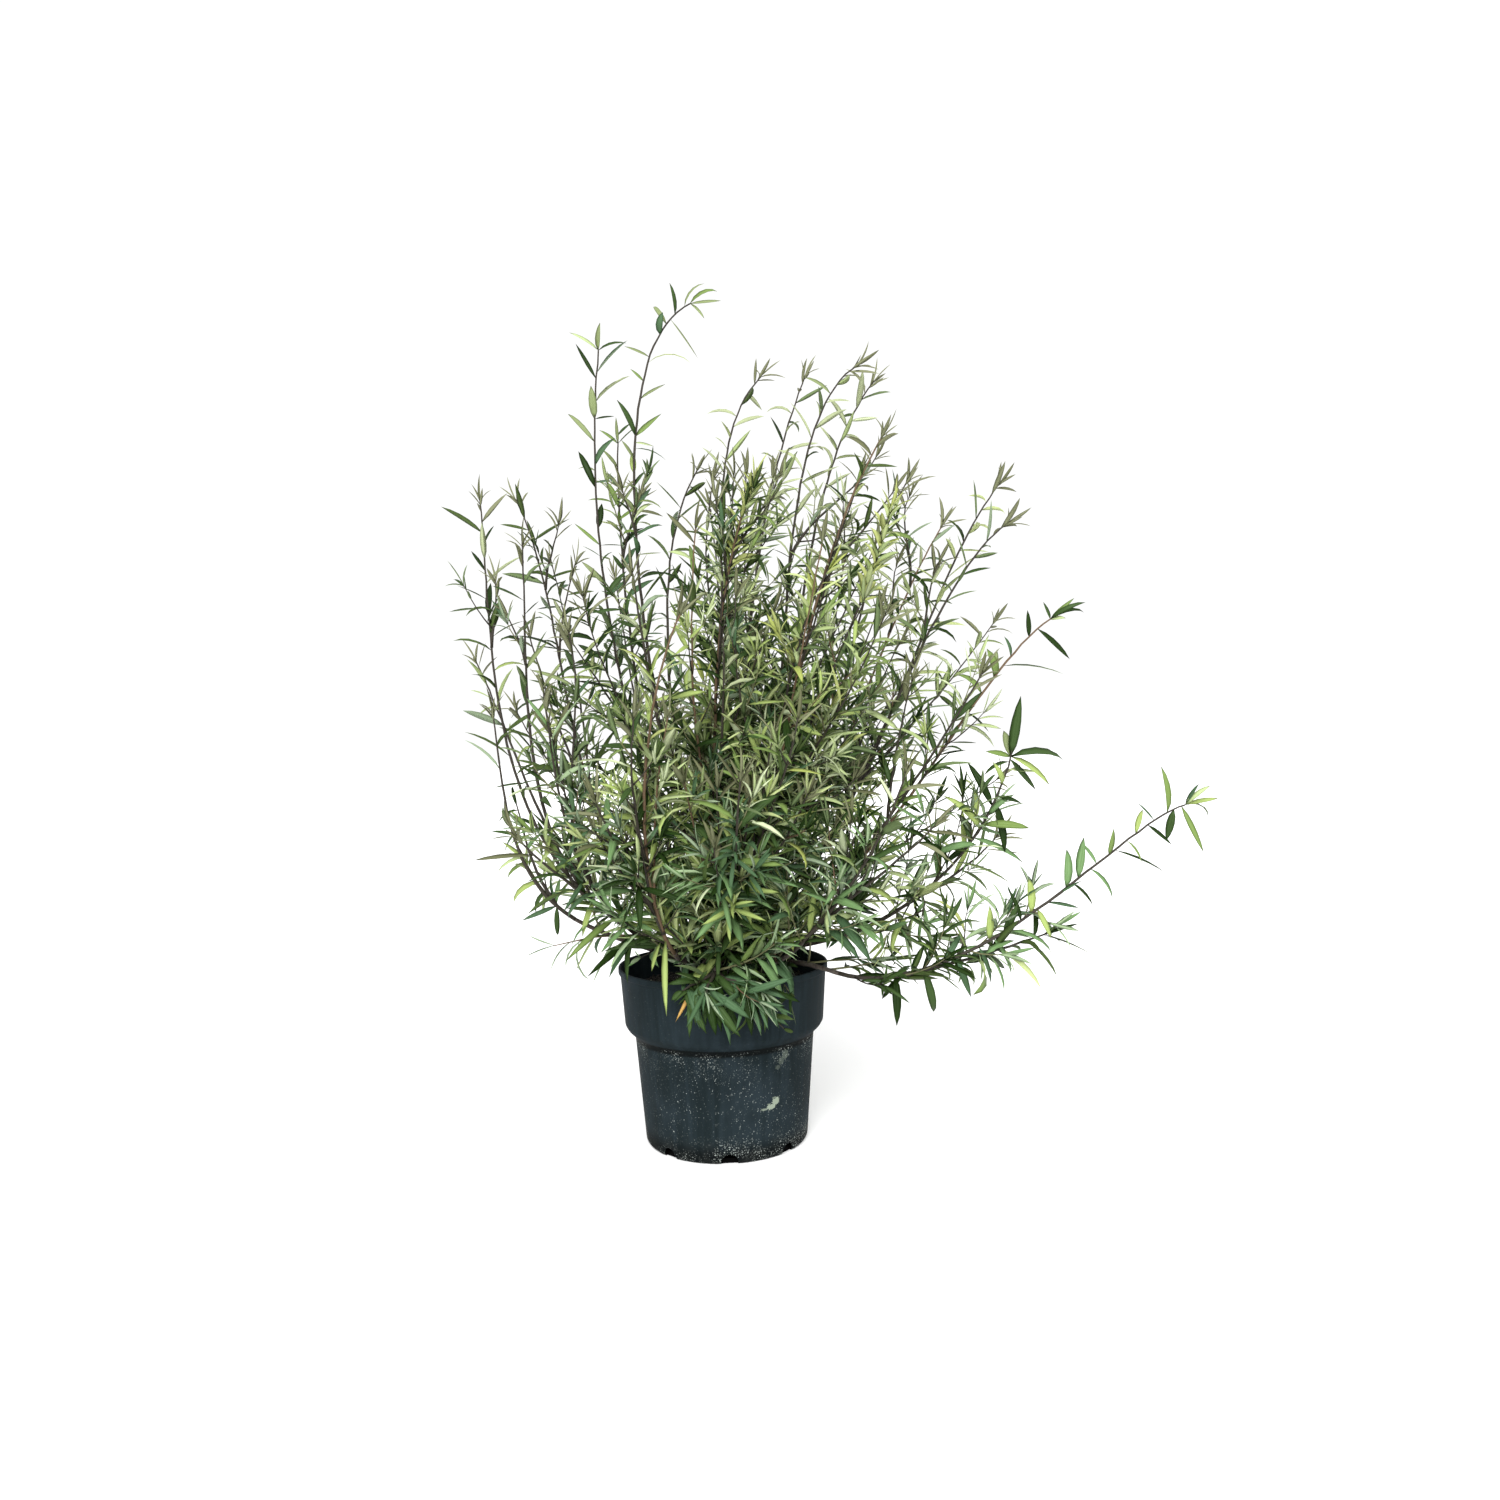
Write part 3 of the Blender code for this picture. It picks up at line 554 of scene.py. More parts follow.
def stool_rings():
    """The ring of the stool at each height."""
    rises, shares = zip(*STOOL_SHAPE)
    height = STOOL_TOP - STOOL_FOOT
    rings = []
    for step in range(STOOL_RINGS + 1):
        rise = step / STOOL_RINGS
        radius = STOOL_RADIUS * float(np.interp(rise, rises, shares))
        lift = Matrix.Translation((0.0, 0.0, STOOL_FOOT + rise * height))
        rings.append(lift @ Matrix.Diagonal((radius, radius, 1.0, 1.0)))
    return rings


stool_shape = drawn(stool_rings(), STOOL_SIDES)
for vert in stool_shape.verts:
    around = math.atan2(vert.co.y, vert.co.x)
    fade = 1.0 - (vert.co.z - STOOL_FOOT) / (STOOL_TOP - STOOL_FOOT)
    wide, tall = FURROW_SCALE
    spot = Vector((math.cos(around) * wide, math.sin(around) * wide, vert.co.z * tall))
    furrows = noise.fractal(spot, 1, 2, 4)
    reach = math.hypot(vert.co.x, vert.co.y)
    if reach > 0.002:
        swell = 1.0 + FLARE_SHARE * fade * math.cos(FLARE_LOBES * around + FLARE_TURN)
        swell += furrows * FURROW_DEPTH / reach
        vert.co.x *= swell
        vert.co.y *= swell
old_bark = bark("old_bark", (0.110, 0.090, 0.072), (0.105, 0.050, 0.036),
                PEAT_TOP + 0.02, PEAT_TOP + 0.10)
stool = piece("stool_wood", stool_shape, old_bark)
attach(stool, "root")
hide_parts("stool")

# Boughs: the lowest length of each stem, from the stool to where its leaves begin. Young bark,
# red-brown over grey, with a low ring at each old leaf scar. Each is drawn along a smooth line.
# Tiers of the stool where boughs leave: height over the peat, radius, lean and bough radius.
TIERS = {
    "foot": (0.011, 0.0200, 70, 0.0036),
    "shoulder": (0.025, 0.0150, 46, 0.0034),
    "crown": (0.034, 0.0080, 16, 0.0032),
}
# One row for each bough and the mass on its end: the tier it leaves, where the bough ends
# (azimuth from +X, reach from the pot's axis, height, lean from upright towards the azimuth)
# and the tips of its wands (x, y, z, nod from upright towards +X), in millimetres and degrees.
MASSES = (
    ("right_long", "foot", (-33, 142, 187.5, 102), ((521, -60, 356, 78), (366, -100, 240, 70))),
    ("right_low", "foot", (-14, 150, 224, 68), ((306, -90, 460, 8), (330, 20, 345, 40))),
    ("right_arch", "shoulder", (-7, 100, 245, 50), ((396, -40, 566, 64), (285, -115, 520, 30))),
    ("right_outer", "shoulder", (12, 74, 250, 42), ((348, 40, 738, 40), (352, -10, 673, 58))),
    ("right_mid", "shoulder", (40, 74, 246, 40), ((298, 150, 716, 34), (245, 85, 757, 30))),
    ("right_tall", "crown", (8, 34, 256, 16), ((198, 15, 856, 58), (212, 75, 866, 38),
        (206, -40, 776, 34))),
    ("back_right", "shoulder", (66, 86, 236, 46), ((155, 235, 705, 10), (255, 225, 530, 34),
        (175, 290, 400, 30))),
    ("centre_tall", "crown", (70, 32, 258, 10), ((127, 125, 897, 22), (86, 60, 868, 44))),
    ("back_centre", "crown", (92, 46, 250, 26), ((-15, 235, 770, -8), (60, 285, 600, 12))),
    ("back_low", "foot", (94, 124, 214, 60), ((20, 300, 400, 10), (-75, 285, 345, -30),
        (105, 255, 330, 30))),
    ("back_left", "shoulder", (118, 86, 236, 46), ((-140, 235, 680, -10), (-225, 205, 520, -26))),
    ("left_tall", "crown", (160, 38, 252, 22), ((-114, 0, 892, 6), (-110, 95, 830, 0))),
    ("left_back", "shoulder", (150, 94, 242, 48), ((-246, 85, 748, -26), (-240, 150, 600, -16))),
    ("left_outer", "shoulder", (180, 108, 230, 56), ((-258, 20, 738, -4), (-290, 55, 560, -26),
        (-196, -50, 676, 0))),
    ("left_low", "foot", (187, 160, 242, 58), ((-240, -30, 500, -6), (-236, 35, 400, -14))),
    ("mid_tall", "crown", (215, 28, 256, 16), ((20, -30, 905, 66), (4, 45, 766, 30),
        (-85, -70, 640, -6))),
    ("left_front", "shoulder", (216, 110, 232, 54), ((-165, -140, 520, -4),
        (-215, -130, 370, -34))),
    ("front_left", "foot", (248, 118, 218, 52), ((-4, -205, 576, 30), (-115, -215, 410, -16))),
    ("front_centre", "crown", (268, 36, 252, 18), ((62, -105, 720, 24), (12, -150, 560, 0))),
    ("front_mid", "shoulder", (276, 100, 232, 50), ((30, -250, 430, 6), (85, -215, 480, 10))),
    ("front_low", "foot", (268, 119, 200.5, 92), ((8, -172, 156, 150), (-60, -150, 158, -140),
        (66, -150, 158, 140))),
    ("front_right", "crown", (300, 44, 246, 28), ((192, -110, 690, 16), (134, -160, 617, 32))),
    ("right_front", "foot", (306, 124, 216, 56), ((185, -205, 430, 14), (235, -150, 370, 40))),
)
CURVE_HOLD = 0.36
BOUGH_STEPS = 26
BOUGH_SIDES = 12
BOUGH_TIP_RADIUS = 0.0021
SCAR_SPACING = 0.014
SCAR_RISE = 0.10
UNEVEN = 0.03
Shoot = namedtuple("Shoot", "path radius tip_radius leave arrive rank")


def polar(azimuth, reach, height):
    """The point at an azimuth in degrees, a reach from the axis and a height."""
    angle = math.radians(azimuth)
    return Vector((reach * math.cos(angle), reach * math.sin(angle), height))


def leaning(azimuth, lean):
    """A direction that leans from upright towards an azimuth."""
    tilt = math.radians(lean)
    flat = polar(azimuth, math.sin(tilt), 0.0)
    return Vector((flat.x, flat.y, math.cos(tilt)))


def curve(start, leave, end, arrive, steps, end_hold=CURVE_HOLD):
    """Points on a smooth curve that leaves and arrives in given directions."""
    reach = (end - start).length
    near = start + leave * reach * CURVE_HOLD
    far = end - arrive * reach * end_hold
    points = []
    for index in range(steps + 1):
        t = index / steps
        s = 1.0 - t
        points.append(start * s ** 3 + near * 3 * s * s * t + far * 3 * s * t * t + end * t ** 3)
    return points


def along(path, share):
    """The point and the heading at a share of a path's length."""
    lengths = [(b - a).length for a, b in zip(path, path[1:])]
    left = share * sum(lengths)
    for (start, end), length in zip(zip(path, path[1:]), lengths):
        if left <= length:
            break
        left -= length
    heading = (end - start).normalized()
    return start + heading * left, heading


def path_length(path):
    """How long a path is."""
    return sum((b - a).length for a, b in zip(path, path[1:]))


def tube(shoot, sides, seed):
    """A tapering limb with a low ring at each leaf scar, drawn along its path."""
    chance = random.Random(seed)
    path = shoot.path
    middle = [(ahead - behind).normalized() for behind, ahead in zip(path, path[2:])]
    headings = [shoot.leave] + middle + [shoot.arrive]
    turn = headings[0].to_track_quat("Z", "Y")
    rings = []
    gone = 0.0
    for index, (point, heading) in enumerate(zip(path, headings)):
        if index:
            turn = headings[index - 1].rotation_difference(heading) @ turn
            gone += (point - path[index - 1]).length
        share = index / (len(path) - 1)
        radius = shoot.radius + (shoot.tip_radius - shoot.radius) * share
        scar = max(0.0, math.cos(2 * math.pi * gone / SCAR_SPACING)) ** 3
        radius *= 1.0 + SCAR_RISE * scar + chance.uniform(-UNEVEN, UNEVEN)
        turned_here = Matrix.Translation(point) @ turn.to_matrix().to_4x4()
        rings.append(turned_here @ Matrix.Scale(radius, 4))
    return drawn(rings, sides)


def merged(shapes):
    """Several shapes in one mesh."""
    whole = bmesh.new()
    for shape in shapes:
        held = bpy.data.meshes.new("held")
        shape.to_mesh(held)
        shape.free()
        whole.from_mesh(held)
        bpy.data.meshes.remove(held)
    return whole


def root_azimuths():
    """Boughs keep their order round the stool, and each tier spaces them evenly."""
    roots = {}
    for tier in TIERS:
        rows = sorted((row for row in MASSES if row[1] == tier), key=lambda row: row[2][0] % 360)
        step = 360.0 / len(rows)
        offsets = [math.radians(row[2][0] - index * step) for index, row in enumerate(rows)]
        start = math.degrees(math.atan2(sum(map(math.sin, offsets)), sum(map(math.cos, offsets))))
        for index, row in enumerate(rows):
            roots[row[0]] = start + index * step
    return roots


def bough_lines():
    """The line of each bough, from inside the stool to where its mass begins."""
    boughs = {}
    roots = root_azimuths()
    for name, tier, (azimuth, reach, height, lean), _ in MASSES:
        rise, distance, root_lean, radius = TIERS[tier]
        start = polar(roots[name], distance, PEAT_TOP + rise)
        leave = leaning(roots[name], root_lean)
        arrive = leaning(azimuth, lean)
        end = polar(azimuth, reach / 1000, height / 1000)
        path = curve(start, leave, end, arrive, BOUGH_STEPS)
        boughs[name] = Shoot(path, radius, BOUGH_TIP_RADIUS, leave, arrive, 0)
    return boughs


boughs = bough_lines()
young_bark = bark("young_bark", (0.060, 0.047, 0.038), (0.050, 0.034, 0.027),
                  PEAT_TOP + 0.02, 0.27)
for name, line in boughs.items():
    limb = piece("limb_" + name, tube(line, BOUGH_SIDES, name), young_bark)
    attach(limb, "root")
    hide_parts("bough_" + name)

# Shoots: the wands that go on from each bough's tip, finer wands that fork low from them, twigs
# on both, and leafy twigs on the boughs. Slim living wood with a smooth skin: umber on most,
# russet on a few wands, olive on the thinnest. Each is drawn along its own curve.
SOCKET_DEPTH = 0.004
WAVER = 0.0005
SIDE_LEAN = 1.6
NOD_LOSS = 0.24
LEAST_HOLD = 0.12
FORK_SHARES = (0.10, 0.16)
WAND_STEP = 0.014
TIP_LEAF = 0.040
RADII = ((BOUGH_TIP_RADIUS, 0.0008), (0.0015, 0.0006), (0.0009, 0.0004), (0.0012, 0.0005))
SIDES = (7, 6, 5, 6)
# How each mass is filled: finer wands for each wand, twigs on the wands (1.0 is about one in
# 26 mm), the share of a wand that has twigs, leafy twigs on its bough, leaf spacing, and how
# much wider that is at the foot of its shoots
HABITS = {
    "right_long": (0, 0.55, 0.50, 10, 0.90, 1.0), "right_low": (0, 0.40, 0.60, 9, 1.12, 1.0),
    "right_arch": (1, 0.30, 0.60, 5, 1.05, 2.3), "right_outer": (1, 0.55, 0.60, 9, 0.76, 1.35),
    "right_mid": (1, 0.66, 0.58, 5, 0.84, 1.0), "right_tall": (1, 0.90, 0.52, 5, 0.74, 1.7),
    "back_right": (1, 0.90, 0.62, 6, 1.00, 1.0), "centre_tall": (1, 0.80, 0.46, 5, 0.92, 1.3),
    "back_centre": (2, 0.95, 0.56, 6, 1.10, 1.0), "back_low": (1, 0.80, 0.80, 6, 1.00, 1.0),
    "back_left": (1, 0.70, 0.80, 6, 1.00, 1.5), "left_tall": (0, 0.22, 0.56, 5, 0.50, 1.8),
    "left_back": (1, 0.24, 0.60, 5, 0.86, 2.2), "left_outer": (0, 0.06, 0.50, 3, 0.94, 2.7),
    "left_low": (0, 0.06, 0.55, 2, 1.60, 1.6), "mid_tall": (0, 0.46, 0.46, 6, 0.84, 1.4),
    "left_front": (1, 0.55, 0.74, 5, 1.04, 1.0), "front_left": (3, 1.20, 0.80, 8, 0.90, 1.0),
    "front_centre": (3, 1.30, 0.72, 7, 0.90, 1.0), "front_mid": (3, 1.30, 0.85, 7, 0.90, 1.0),
    "front_low": (0, 0.60, 0.80, 14, 0.60, 1.0), "front_right": (3, 1.20, 0.74, 11, 0.90, 1.0),
    "right_front": (0, 0.70, 0.60, 9, 1.00, 1.2),
}
FINE_SHARES = (0.06, 0.34)
FINE_REACH = (0.50, 0.88)
FINE_SPREAD = (14, 30)
FINE_LIFT = 0.3
FIRST_TWIG = 0.02
TWIG_GAP = 0.026
TWIG_GAPS = (0.8, 1.25)
TWIG_THINNING = (0.7, 1.4)
TWIG_LENGTH = 0.078
TWIG_LENGTHS = (0.5, 1.1)
TWIG_TAPER = 0.65
TWIG_LIFT = 0.5
TWIG_SPREAD = (32, 52)
FOOT_SHARES = (0.12, 0.98)
FOOT_LENGTH = (0.045, 0.100)
FOOT_SPREAD = (35, 70)
FOOT_LIFT = 0.3
FOOT_RISE = (-0.3, 0.6)
GOLDEN_ANGLE = 137.5
REACH_MARGIN = 0.004
BEFORE_MARGIN = 0.006
INSIDE_MARGIN = 0.005
PEAT_MARGIN = 0.002
LIP_MARGIN = 0.0015
STRAY_RUSSET = 0.06
OLIVE_SHARE = 0.5
LOWEST_LEAF = 0.138
FRONT_TUFT = (-0.045, 0.082)
OPEN_PEAT = 0.208
ASIDE = 0.127
LOW_ASIDE = 0.168
SKIRT_SLOPE = 0.8
# Sprays that stand out in the photo: the wand that they leave, where on its length (hundredths),
# and their tip (millimetres), nod and rank
SEEN_SPRAYS = {
    "left_outer": ((0, 68, (-239, 0, 626), -8, 1), (2, 65, (-225, -30, 580), -25, 1)),
    "left_back": ((0, 78, (-174, 70, 702), 10, 1), (0, 62, (-153, 60, 654), 15, 1)),
    "left_tall": ((0, 26, (-140, -40, 603), -10, 1), (0, 30, (-166, -20, 560), -30, 1),
        (1, 68, (-77, 60, 728), 15, 1)),
    "mid_tall": ((0, 60, (-96, -40, 712), -12, 1),),
    "right_mid": ((0, 82, (242, 110, 730), 30, 1), (0, 70, (222, 90, 650), 25, 1)),
    "right_outer": ((0, 62, (261, 30, 638), 30, 1), (0, 10, (142, -10, 310), 15, 1),
        (0, 18, (145, 0, 415), 5, 1)),
    "right_front": ((0, 30, (132, -130, 365), 5, 1), (0, 15, (142, -120, 327), 20, 1),
        (1, 30, (149, -140, 325), 10, 1)),
    "front_right": ((0, 22, (152, -80, 401), 35, 1), (0, 12, (135, -70, 350), 45, 1)),
    "left_front": ((0, 40, (-150, -75, 560), -12, 1),),
    "front_centre": ((0, 50, (27, -80, 713), 4, 1), (0, 42, (4, -90, 688), -8, 1),
        (0, 55, (80, -60, 718), 20, 1), (0, 72, (40, -90, 710), 5, 1),
        (0, 80, (69, -70, 712), 10, 1)),
    "right_tall": ((0, 62, (194, 30, 756), 30, 1), (2, 58, (210, 0, 709), 36, 1),
        (2, 50, (168, -20, 726), 20, 1), (2, 36, (141, -40, 674), 10, 1)),
    "right_arch": ((0, 50, (286, -30, 523), 20, 2), (0, 42, (250, -40, 470), 0, 2),
        (0, 6, (161, -30, 298), 30, 1)),
    "right_low": ((0, 35, (248, -80, 388), 0, 2), (0, 50, (300, -60, 370), 40, 2),
        (0, 30, (229, -70, 240), 75, 2), (1, 35, (213, -50, 285), 40, 2),
        (0, 18, (189, -60, 211), 85, 2)),
    "right_long": ((0, 52, (351, -100, 243), 64, 2), (0, 30, (262, -60, 268), 20, 2),
        (0, 36, (300, -70, 262), 30, 2)),
}
SKIN_COLOURS = (("umber_skin", (0.036, 0.031, 0.024)), ("olive_skin", (0.120, 0.120, 0.060)),
                ("russet_skin", (0.112, 0.074, 0.044)))
UMBER, OLIVE, RUSSET = range(3)
RUSSET_WANDS = {("front_centre", 0), ("front_left", 0), ("right_arch", 0), ("right_mid", 0),
                ("right_tall", 2)}


def outward(ahead, turn):
    """A direction square to a shoot, turned round it by an angle in degrees."""
    return Matrix.Rotation(math.radians(turn), 3, ahead) @ ahead.orthogonal().normalized()


def fork(ahead, turn, spread):
    """A direction that leaves a shoot at an angle in degrees."""
    angle = math.radians(spread)
    return ahead * math.cos(angle) + outward(ahead, turn) * math.sin(angle)


def nodding(nod, side=0.0):
    """A direction that nods from upright towards +X by an angle in degrees."""
    bend = math.radians(nod)
    return Vector((math.sin(bend), side, math.cos(bend)))


def between_ways(ahead, start, end):
    """A direction halfway between a shoot's own and the straight way to an end."""
    return (ahead + (end - start).normalized()).normalized()


def grown(start, leave, arrive, length):
    """Where a shoot ends that leaves and arrives in given directions."""
    return start + (leave + arrive).normalized() * length


def rising(direction, lift):
    """A direction that is turned upwards a little."""
    return (direction + Vector((0, 0, lift))).normalized()


def clear(points):
    """True for each point inside the crown's reach that leaves pot, peat and rim free."""
    spots = np.asarray(points, float)
    x, y, height = spots[..., 0], spots[..., 1], spots[..., 2]
    radius = np.hypot(x, y)
    in_front = (x > FRONT_TUFT[0]) & (x < FRONT_TUFT[1]) & (y < 0.0)
    before_pot = (np.abs(x) < LIP_RADIUS + BEFORE_MARGIN) & (y < 0.0)
    high_up = height > OPEN_PEAT
    over_peat = (radius < LIP_RADIUS - INSIDE_MARGIN) & (height > PEAT_TOP + PEAT_MARGIN) & in_front
    over_lip = (height > POT_TOP + LIP_MARGIN) & (in_front | high_up)
    outside = (radius > LIP_RADIUS + LIP_MARGIN) & in_front & (height > LOWEST_LEAF)
    skirt = LOW_ASIDE + SKIRT_SLOPE * np.maximum(-ASIDE - x, 0.0)
    aside = (radius > ASIDE) & ~before_pot & (height > skirt)
    low = np.array(cad_low) - REACH_MARGIN
    high = np.array(cad_high) + REACH_MARGIN
    inside = ((spots > low) & (spots < high)).all(axis=-1)
    return (over_peat | over_lip | outside | aside) & inside


def wavering(path, chance, amount):
    """A path whose inner points are pushed aside a little, as growth does."""
    pushed = [point + Vector([chance.uniform(-amount, amount) for _ in range(3)]) for point in path]
    return [path[0]] + pushed[1:-1] + [path[-1]]


def new_shoot(start, leave, end, arrive, rank, chance, end_hold=CURVE_HOLD):
    """A shoot of a rank along a wavering curve."""
    steps = max(3, round((end - start).length / WAND_STEP))
    path = wavering(curve(start, leave, end, arrive, steps, end_hold), chance, WAVER)
    return Shoot(path, *RADII[rank], leave, arrive, rank)


def wands_of(tips, bough, chance):
    """The leader of a mass, which goes on from its bough, and the wands that fork from it."""
    wands = []
    for index, (*tip, nod) in enumerate(tips):
        x, y, z = (side / 1000 for side in tip)
        arrive = nodding(nod, SIDE_LEAN * y).normalized()
        end = Vector((x, y, z)) - arrive * TIP_LEAF
        start = bough.path[-1] - bough.arrive * SOCKET_DEPTH
        leave = bough.arrive
        if index:
            start, leave = along(wands[0].path, FORK_SHARES[index - 1])
            leave = between_ways(leave, start, end)
        end_hold = max(LEAST_HOLD, CURVE_HOLD - NOD_LOSS * abs(nod) / 90.0)
        wands.append(new_shoot(start, leave, end, arrive, 0, chance, end_hold))
    return wands


def fine_wands_of(wands, each, chance):
    """Thinner wands that fork low from the wands and stay inside their reach."""
    fine = []
    for index in range(each * len(wands)):
        parent = wands[index % len(wands)]
        share = chance.uniform(*FINE_SHARES)
        start, ahead = along(parent.path, share)
        leave = fork(ahead, index * GOLDEN_ANGLE, chance.uniform(*FINE_SPREAD))
        length = path_length(parent.path) * (1.0 - share) * chance.uniform(*FINE_REACH)
        arrive = rising(parent.arrive + leave, FINE_LIFT)
        end = grown(start, leave, arrive, length)
        if clear(start.lerp(end, 0.6)) and clear(end + arrive * TIP_LEAF):
            fine.append(new_shoot(start, leave, end, arrive, 1, chance))
    return fine


def twigs_of(parents, density, top, chance):
    """Short twigs along the lower share of the wands, longest near the foot."""
    twigs = []
    for parent in parents:
        whole = path_length(parent.path)
        place_at = FIRST_TWIG
        turn = chance.uniform(0.0, 360.0)
        while place_at < whole * top:
            share = place_at / whole
            start, ahead = along(parent.path, share)
            leave = fork(ahead, turn, chance.uniform(*TWIG_SPREAD))
            arrive = rising(leave, TWIG_LIFT)
            length = TWIG_LENGTH * (1.0 - TWIG_TAPER * share) * chance.uniform(*TWIG_LENGTHS)
            end = grown(start, leave, arrive, length)
            if clear(start.lerp(end, 0.5)) and clear(end + arrive * 0.02):
                twigs.append(new_shoot(start, leave, end, arrive, 2, chance))
            turn += GOLDEN_ANGLE
            thinning = TWIG_THINNING[0] + TWIG_THINNING[1] * share
            place_at += TWIG_GAP / density * thinning * chance.uniform(*TWIG_GAPS)
    return twigs


def foot_twigs_of(bough, count, chance):
    """Leafy twigs that rise from a bough and hide the stool."""
    twigs = []
    turn = chance.uniform(0.0, 360.0)
    first, last = FOOT_SHARES
    for index in range(count):
        share = first + (last - first) * (index + chance.random()) / count
        start, ahead = along(bough.path, share)
        turn += GOLDEN_ANGLE
        leave = fork(ahead, turn, chance.uniform(*FOOT_SPREAD))
        leave = rising(leave, FOOT_LIFT)
        arrive = rising(leave, chance.uniform(*FOOT_RISE))
        end = grown(start, leave, arrive, chance.uniform(*FOOT_LENGTH))
        if clear(start.lerp(end, 0.5)) and clear(end):
            twigs.append(new_shoot(start, leave, end, arrive, 3, chance))
    return twigs


def seen_sprays(name, wands, chance):
    """The sprays of a mass that stand out in the photo."""
    sprays = []
    for wand, share, tip, nod, rank in SEEN_SPRAYS.get(name, ()):
        start, ahead = along(wands[wand].path, share / 100)
        arrive = nodding(nod)
        end = Vector([side / 1000 for side in tip]) - arrive * TIP_LEAF * 0.5
        leave = between_ways(ahead, start, end)
        sprays.append(new_shoot(start, leave, end, arrive, rank, chance))
    return sprays


shoot_skins = [finish(name, colour, 0.6, 0.12)[0] for name, colour in SKIN_COLOURS]


def skin_of(name, index, shoot, chance):
    """Which skin a shoot has: russet on some wands, olive on many twigs, umber elsewhere."""
    if (name, index) in RUSSET_WANDS or shoot.rank and chance.random() < STRAY_RUSSET:
        return RUSSET
    return OLIVE if shoot.rank > 1 and chance.random() < OLIVE_SHARE else UMBER


shoots = {}
for name, _, _, tips in MASSES:
    chance = random.Random("wood " + name)
    each, density, top, on_bough, _, _ = HABITS[name]
    wands = wands_of(tips, boughs[name], chance)
    fine = fine_wands_of(wands, each, chance) + seen_sprays(name, wands, chance)
    twigs = twigs_of(wands + fine, density, top, chance)
    twigs += foot_twigs_of(boughs[name], on_bough, chance)
    shoots[name] = wands + fine + twigs
    tubes = []
    for index, shoot in enumerate(shoots[name]):
        limb = tube(shoot, SIDES[shoot.rank], f"{name} {index}")
        skin = skin_of(name, index, shoot, chance)
        for face in limb.faces:
            face.material_index = skin
        tubes.append(limb)
    wood = piece("shoots_" + name, merged(tubes), *shoot_skins)
    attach(wood, "root")
    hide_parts("foliage_" + name)

# Leaves: narrow lance-shaped willow leaves, dull green above and grey-green below, set in a
# spiral on every shoot. Each is a thin closed blade of two sheets, folded at the midrib.
# Their colours are plain: one for each spray, dealt out by height, side and chance, with strays.
LEAF_SEGMENTS = 5
LEAF_STALK = 0.3
LEAF_HEIGHTS = (0.20, 0.75)
LEAF_LENGTH = (0.054, 0.044)
LEAF_WIDTH_SHARE = (0.150, 0.138)
LEAF_RANK = ((1.0, 1.0), (0.94, 0.82), (0.84, 0.58), (0.90, 0.84))
LEAF_THICKNESS = 0.0004
LEAF_GAP = (0.0135, 0.0105, 0.0072, 0.0095)
LOW_HEIGHTS = (0.19, 0.30)
LOW_GAP = 0.72
LEAF_LENGTHS = (0.66, 1.14)
LEAF_WIDTHS = (0.75, 1.20)
LEAF_DROOP = (0.1, 0.8)
LEAF_TWIST = 0.7
LEAF_FOLD = (0.20, 0.75)
LAST_LEAF = 0.99
LEAF_SPREAD = (22, 70)
LEAF_ROLL = 50
SEEN_ROLL = 25
SEEN_TWIST = 0.4
SEEN_FOLD = (0.20, 0.60)
LEAF_BENDS = (0.08, 0.25, 0.5, 0.9, 1.5)
LEAF_BEND_SPAN = (0.6, 1.1)
LEAF_GAPS = (0.8, 1.2)
SKYWARD = 1.2
BARE_FOOT = (0.020, 0.012, 0.010, 0.012)
# How far from a tip its fan begins, and how much less its leaves have than others
TIP_FAN = 0.026
LESS_SPREAD = 0.45
LESS_LENGTH = 0.30
LESS_WIDTH = 0.25
LESS_BEND = 0.4
LESS_GAP = 0.45
TIP_LEAVES = (4, 3, 2, 2)
TIP_SPREAD = (14, 42)
TIP_LENGTH = (0.021, 0.032)
TIP_STEP = 0.002
TIP_WIDTH_SHARE = 0.13
TIP_TWIST = 0.6
TIP_FOLD = 0.35
LAST_BLADE = (0.033, 0.0040, 0.2, 0.2, 0.4)
# Wands whose stems show in the photo, and between which shares of their length. No leaf that
# grows by the rule stands between such a stem and the photographer's place.
SHOWN_STEMS = {("front_left", 0): (0.02, 0.80), ("front_centre", 0): (0.40, 0.92),
               ("right_tall", 2): (0.35, 0.80)}
CAMERA_PLACE = (0.035, -1.165, 0.4156)
STEM_VIEW = 0.0035
STEM_CLEARANCE = 0.004
YELLOW_WANDS = {("front_centre", 0), ("front_right", 0), ("front_right", 1)}
YELLOW_REACH = 0.105
YELLOW_GAP = 0.19
YELLOW_SPREAD = 0.7
YELLOW_LENGTH = 0.55
YELLOW_TINTS = ("young", "young", "fresh", "mid")
